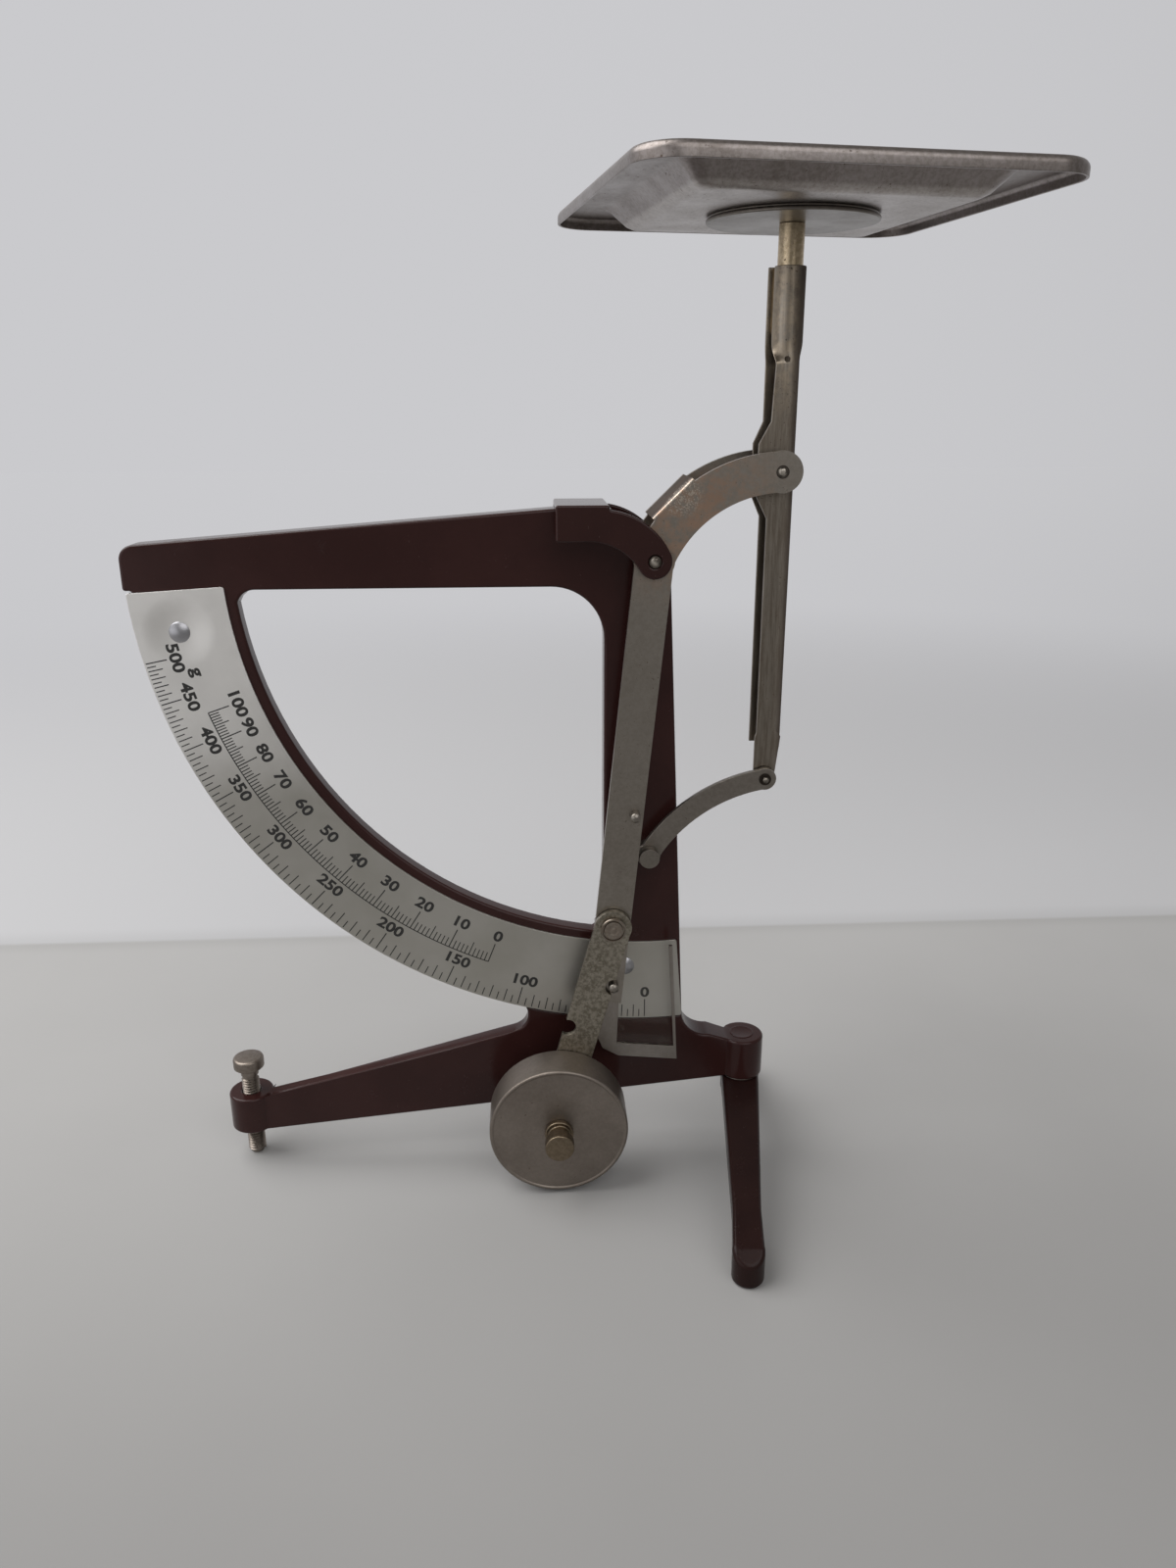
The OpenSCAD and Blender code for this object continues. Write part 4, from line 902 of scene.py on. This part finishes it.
# Painted highlight: a lighter, warmer patch on the left of the tube, above the upper pin.
tube_painted_highlight = (post_axis.x - 2.2 * mm, post_low.y, upper_pin.z + 34 * mm)
drawn_upward = (1, 1, 0.07)
post_steel = plated_steel(
    "post_steel", (0.30, 0.268, 0.228), (0.17, 0.14, 0.11),
    rough=0.3, pits=0.05, mottle=0.6, flow=drawn_upward,
    stain_and_highlight=(tube_painted_highlight, 30 * mm, (0.35, 0.29, 0.22)),
    # Painted shade: the right side of the post is painted darker and duller.
    painted_shade=(0, post_axis.x - 0.2 * mm, post_axis.x + 9 * mm, 2.8 * mm, (0.06, 0.045, 0.036)),
)
fit(post, "post", "plated_sheet", post_steel, "post")


# Link
# A narrow arched strip, stamped from the same plated sheet as the lever with an eye at each end. It
# joins the post's foot to the casting and keeps the post upright.
link_bright, link_dull = (0.30, 0.275, 0.245), (0.215, 0.19, 0.165)
link_steel = plated_steel("link_steel", link_bright, link_dull, rough=0.32, mottle=0.35)
link = dressed("lower_link", "guide_link", edge=0.2 * mm)
fit(link, "link", "plated_sheet", link_steel, "lower_link")


# Tray
# Pressed from one steel sheet: a flat border, a slope down to the flat floor and a rim rolled down.
# Its plating is speckled underneath, and its border, slope and rim are painted darker than its floor
# as shade. Two pressed discs and a brassy stud carry it.
tray_low, tray_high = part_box("pan")
tray_middle = (tray_low + tray_high) / 2
tray_top = Vector((tray_middle.x, tray_middle.y, tray_high.z))
tray_half = 46.48 * mm
tray_corner = 10 * mm
tray_turn = radians(8.4)
tray_sheet = 0.6 * mm
corner_steps = 10
rim_roll, rim_deep = 1.7 * mm, 3.2 * mm
crease_r = 1.6 * mm
slope_start, slope_start_corner = 35.0 * mm, 4.2 * mm
slope_end, slope_end_corner = 30.4 * mm, 2.5 * mm
stud_hole_r = 2.05 * mm
floor_drop = tray_high.z - tray_low.z - tray_sheet


def square_ring(half, corner, drop):
    """Ring of points round a square with rounded corners, drop below the tray's top."""
    ring = []
    for quarter in range(4):
        side_x, side_y = ((1, 1), (-1, 1), (-1, -1), (1, -1))[quarter]
        for i in range(corner_steps + 1):
            angle = radians(90 * quarter + 90 * i / corner_steps)
            x = side_x * (half - corner) + corner * cos(angle)
            y = side_y * (half - corner) + corner * sin(angle)
            ring.append(Matrix.Rotation(tray_turn, 3, "Z") @ Vector((x, y, -drop)) + tray_top)
    return ring


rings = [square_ring(tray_half, tray_corner, rim_deep)]
for i in range(7):
    turn = radians(15 * i)
    inset = rim_roll * (1 - cos(turn))
    rings.append(square_ring(tray_half - inset, tray_corner - inset, rim_roll * (1 - sin(turn))))
creases = ((crease_r, 0), (crease_r * 0.4, 0.12 * mm), (-crease_r * 0.4, 0.75 * mm))
for along, drop in creases:
    rings.append(square_ring(slope_start + along, slope_start_corner + along / 2, drop))
for along, rise in reversed(creases):
    rings.append(square_ring(slope_end - along, slope_end_corner - along / 2, floor_drop - rise))
for ring_half, ring_corner in ((10 * mm, 9.9 * mm), (stud_hole_r, stud_hole_r - 0.01 * mm)):
    rings.append(square_ring(ring_half, ring_corner, floor_drop))
tray = loft("tray", rings, True)
thicken(tray, tray_sheet, 0.12 * mm)
tray_steel, shader, place = surface("tray_steel")
cloud = place.noise(60, 5, 0.65).above(0.3, 0.7)
grain = place.noise(1100, 4, 0.7)
pit = place.noise(1300, 3, 0.65).above(0.62, 0.70) * place.noise(120, 4, 0.7).above(0.38, 0.60)
# Painted shade: the raised border, slope and rim are darker than the flat floor.
raised_shade = place.part(2).above(tray_low.z + 0.9 * mm, tray_low.z + 1.8 * mm)
mottled = cloud * 0.5 + grain.above(0.38, 0.62) * 0.5
floor_tone = mottled.tint((0.44, 0.41, 0.39), (0.30, 0.27, 0.25))
shaded_border_tone = mottled.tint((0.305, 0.275, 0.265), (0.19, 0.165, 0.15))
feed(
    shader,
    Base_Color=pit.tint(raised_shade.tint(floor_tone, shaded_border_tone), (0.10, 0.07, 0.055)),
    Metallic=1 - pit * 0.7,
    Roughness=0.3 + cloud * 0.1 + pit * 0.25,
    Normal=(grain * 0.7 + cloud * 0.5 - pit).bump(0.03 * mm, 0.7),
)
fit(tray, "tray", "tray", tray_steel, "pan")
disc_steel = plated_steel("disc_steel", (0.20, 0.18, 0.16), (0.135, 0.12, 0.105), rough=0.3, mottle=0.4)
for node, name in (("pan_support_disc", "lower_disc"), ("pan_packing_disc", "upper_disc")):
    fit(dressed(node, name, edge=0.3 * mm, steps=3), "tray", "plated_sheet", disc_steel, node)
stud_bright, stud_dull = (0.60, 0.49, 0.34), (0.34, 0.265, 0.17)
stud_brass = plated_steel("stud_brass", stud_bright, stud_dull, rough=0.24, pits=0.03, mottle=0.6)
stud = dressed("pan_stud", "stud", edge=0.25 * mm)
fit(stud, "tray", "knob", stud_brass, "pan_stud")


# Levelling screw
# A plated cheese head screw through the left boss: a plain shank below the head, then a coarse thread
# that shows again under the boss, and a rounded tip that stands on the table.
screw_low, screw_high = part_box("levelling_screw")
screw_foot = ((screw_low.x + screw_high.x) / 2, (screw_low.y + screw_high.y) / 2, screw_low.z)
head_r = (screw_high.x - screw_low.x) / 2
screw_len = screw_high.z - screw_low.z
thread_r, root_r = 2.4 * mm, 1.95 * mm
pitch = 0.8 * mm
head_under = screw_len - 3.2 * mm
shank_under = head_under - 2.2 * mm
tip_turning = [(1.1 * mm, 0), (1.6 * mm, 0.15 * mm), (root_r, 0.6 * mm), (root_r, shank_under - 0.4 * mm)]
shank_turning = [(thread_r, shank_under), (thread_r, head_under), (head_r - 0.3 * mm, head_under)]
head_turning = [
    (head_r, head_under + 0.3 * mm), (head_r, screw_len - 0.7 * mm),
    (head_r - 0.2 * mm, screw_len - 0.25 * mm), (head_r - 0.7 * mm, screw_len), (0.5 * mm, screw_len),
]
screw = turned("screw", screw_foot, (0, 0, 1), tip_turning + shank_turning + head_turning, steps=40)
settle(screw)

thread_in = root_r - 0.1 * mm
thread_profile = [(thread_in, 0, 0), (thread_r, 0, pitch * 0.48), (thread_in, 0, pitch * 0.96)]
bpy.ops.mesh.primitive_circle_add(vertices=3, radius=1)
thread = bpy.context.object
for vertex, corner in zip(thread.data.vertices, thread_profile):
    vertex.co = corner
winding = thread.modifiers.new("winding", "SCREW")
winding.screw_offset = pitch
winding.iterations = int((shank_under - 1.6 * mm) / pitch)
winding.steps = 20
winding.render_steps = 20
winding.use_merge_vertices = False
choose(thread)
bpy.ops.object.modifier_apply(modifier=winding.name)
bpy.ops.object.mode_set(mode="EDIT")
bpy.ops.mesh.select_all(action="SELECT")
bpy.ops.mesh.remove_doubles(threshold=fine_merge)
bpy.ops.mesh.fill_holes(sides=3)
bpy.ops.mesh.normals_make_consistent(inside=False)
bpy.ops.object.mode_set(mode="OBJECT")
thread.data.transform(Matrix.Translation((screw_foot[0], screw_foot[1], screw_foot[2] + 0.5 * mm)))
settle(thread)
screw = gather("screw", [screw, thread])
screw_bright, screw_dull = (0.30, 0.265, 0.235), (0.19, 0.16, 0.135)
screw_steel = plated_steel("screw_steel", screw_bright, screw_dull, rough=0.3, mottle=0.4)
fit(screw, "screw", "plated_turned", screw_steel, "levelling_screw")


# Cross foot
# A cast bar in a darker copy of the casting's lacquer, riveted under the right boss so that it can fold in
# line. The rivet is set nearly level with the boss and lacquered over.
foot_deep, foot_thin = (0.013, 0.0055, 0.005), (0.018, 0.0075, 0.0065)
foot_lacquer = brown_lacquer("foot_lacquer", foot_deep, foot_thin, gloss=0.26, shine=0.16)
foot = dressed("cross_foot", "foot_bar", edge=1.0 * mm, steps=4, bend=50, merge=0.4 * mm)
fit(foot, "foot", "foot_lacquer", foot_lacquer, "cross_foot")
foot_rivet = dressed("foot_rivet", "foot_rivet_finished", edge=0.5 * mm, steps=3)
head_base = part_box("foot_rivet")[1].z - 0.6 * mm
head_flatten = 0.75
for vertex in foot_rivet.data.vertices:
    vertex.co.z -= max(0, vertex.co.z - head_base) * head_flatten
fit(foot_rivet, "stand", "foot_lacquer", casting_lacquer, "foot_rivet")
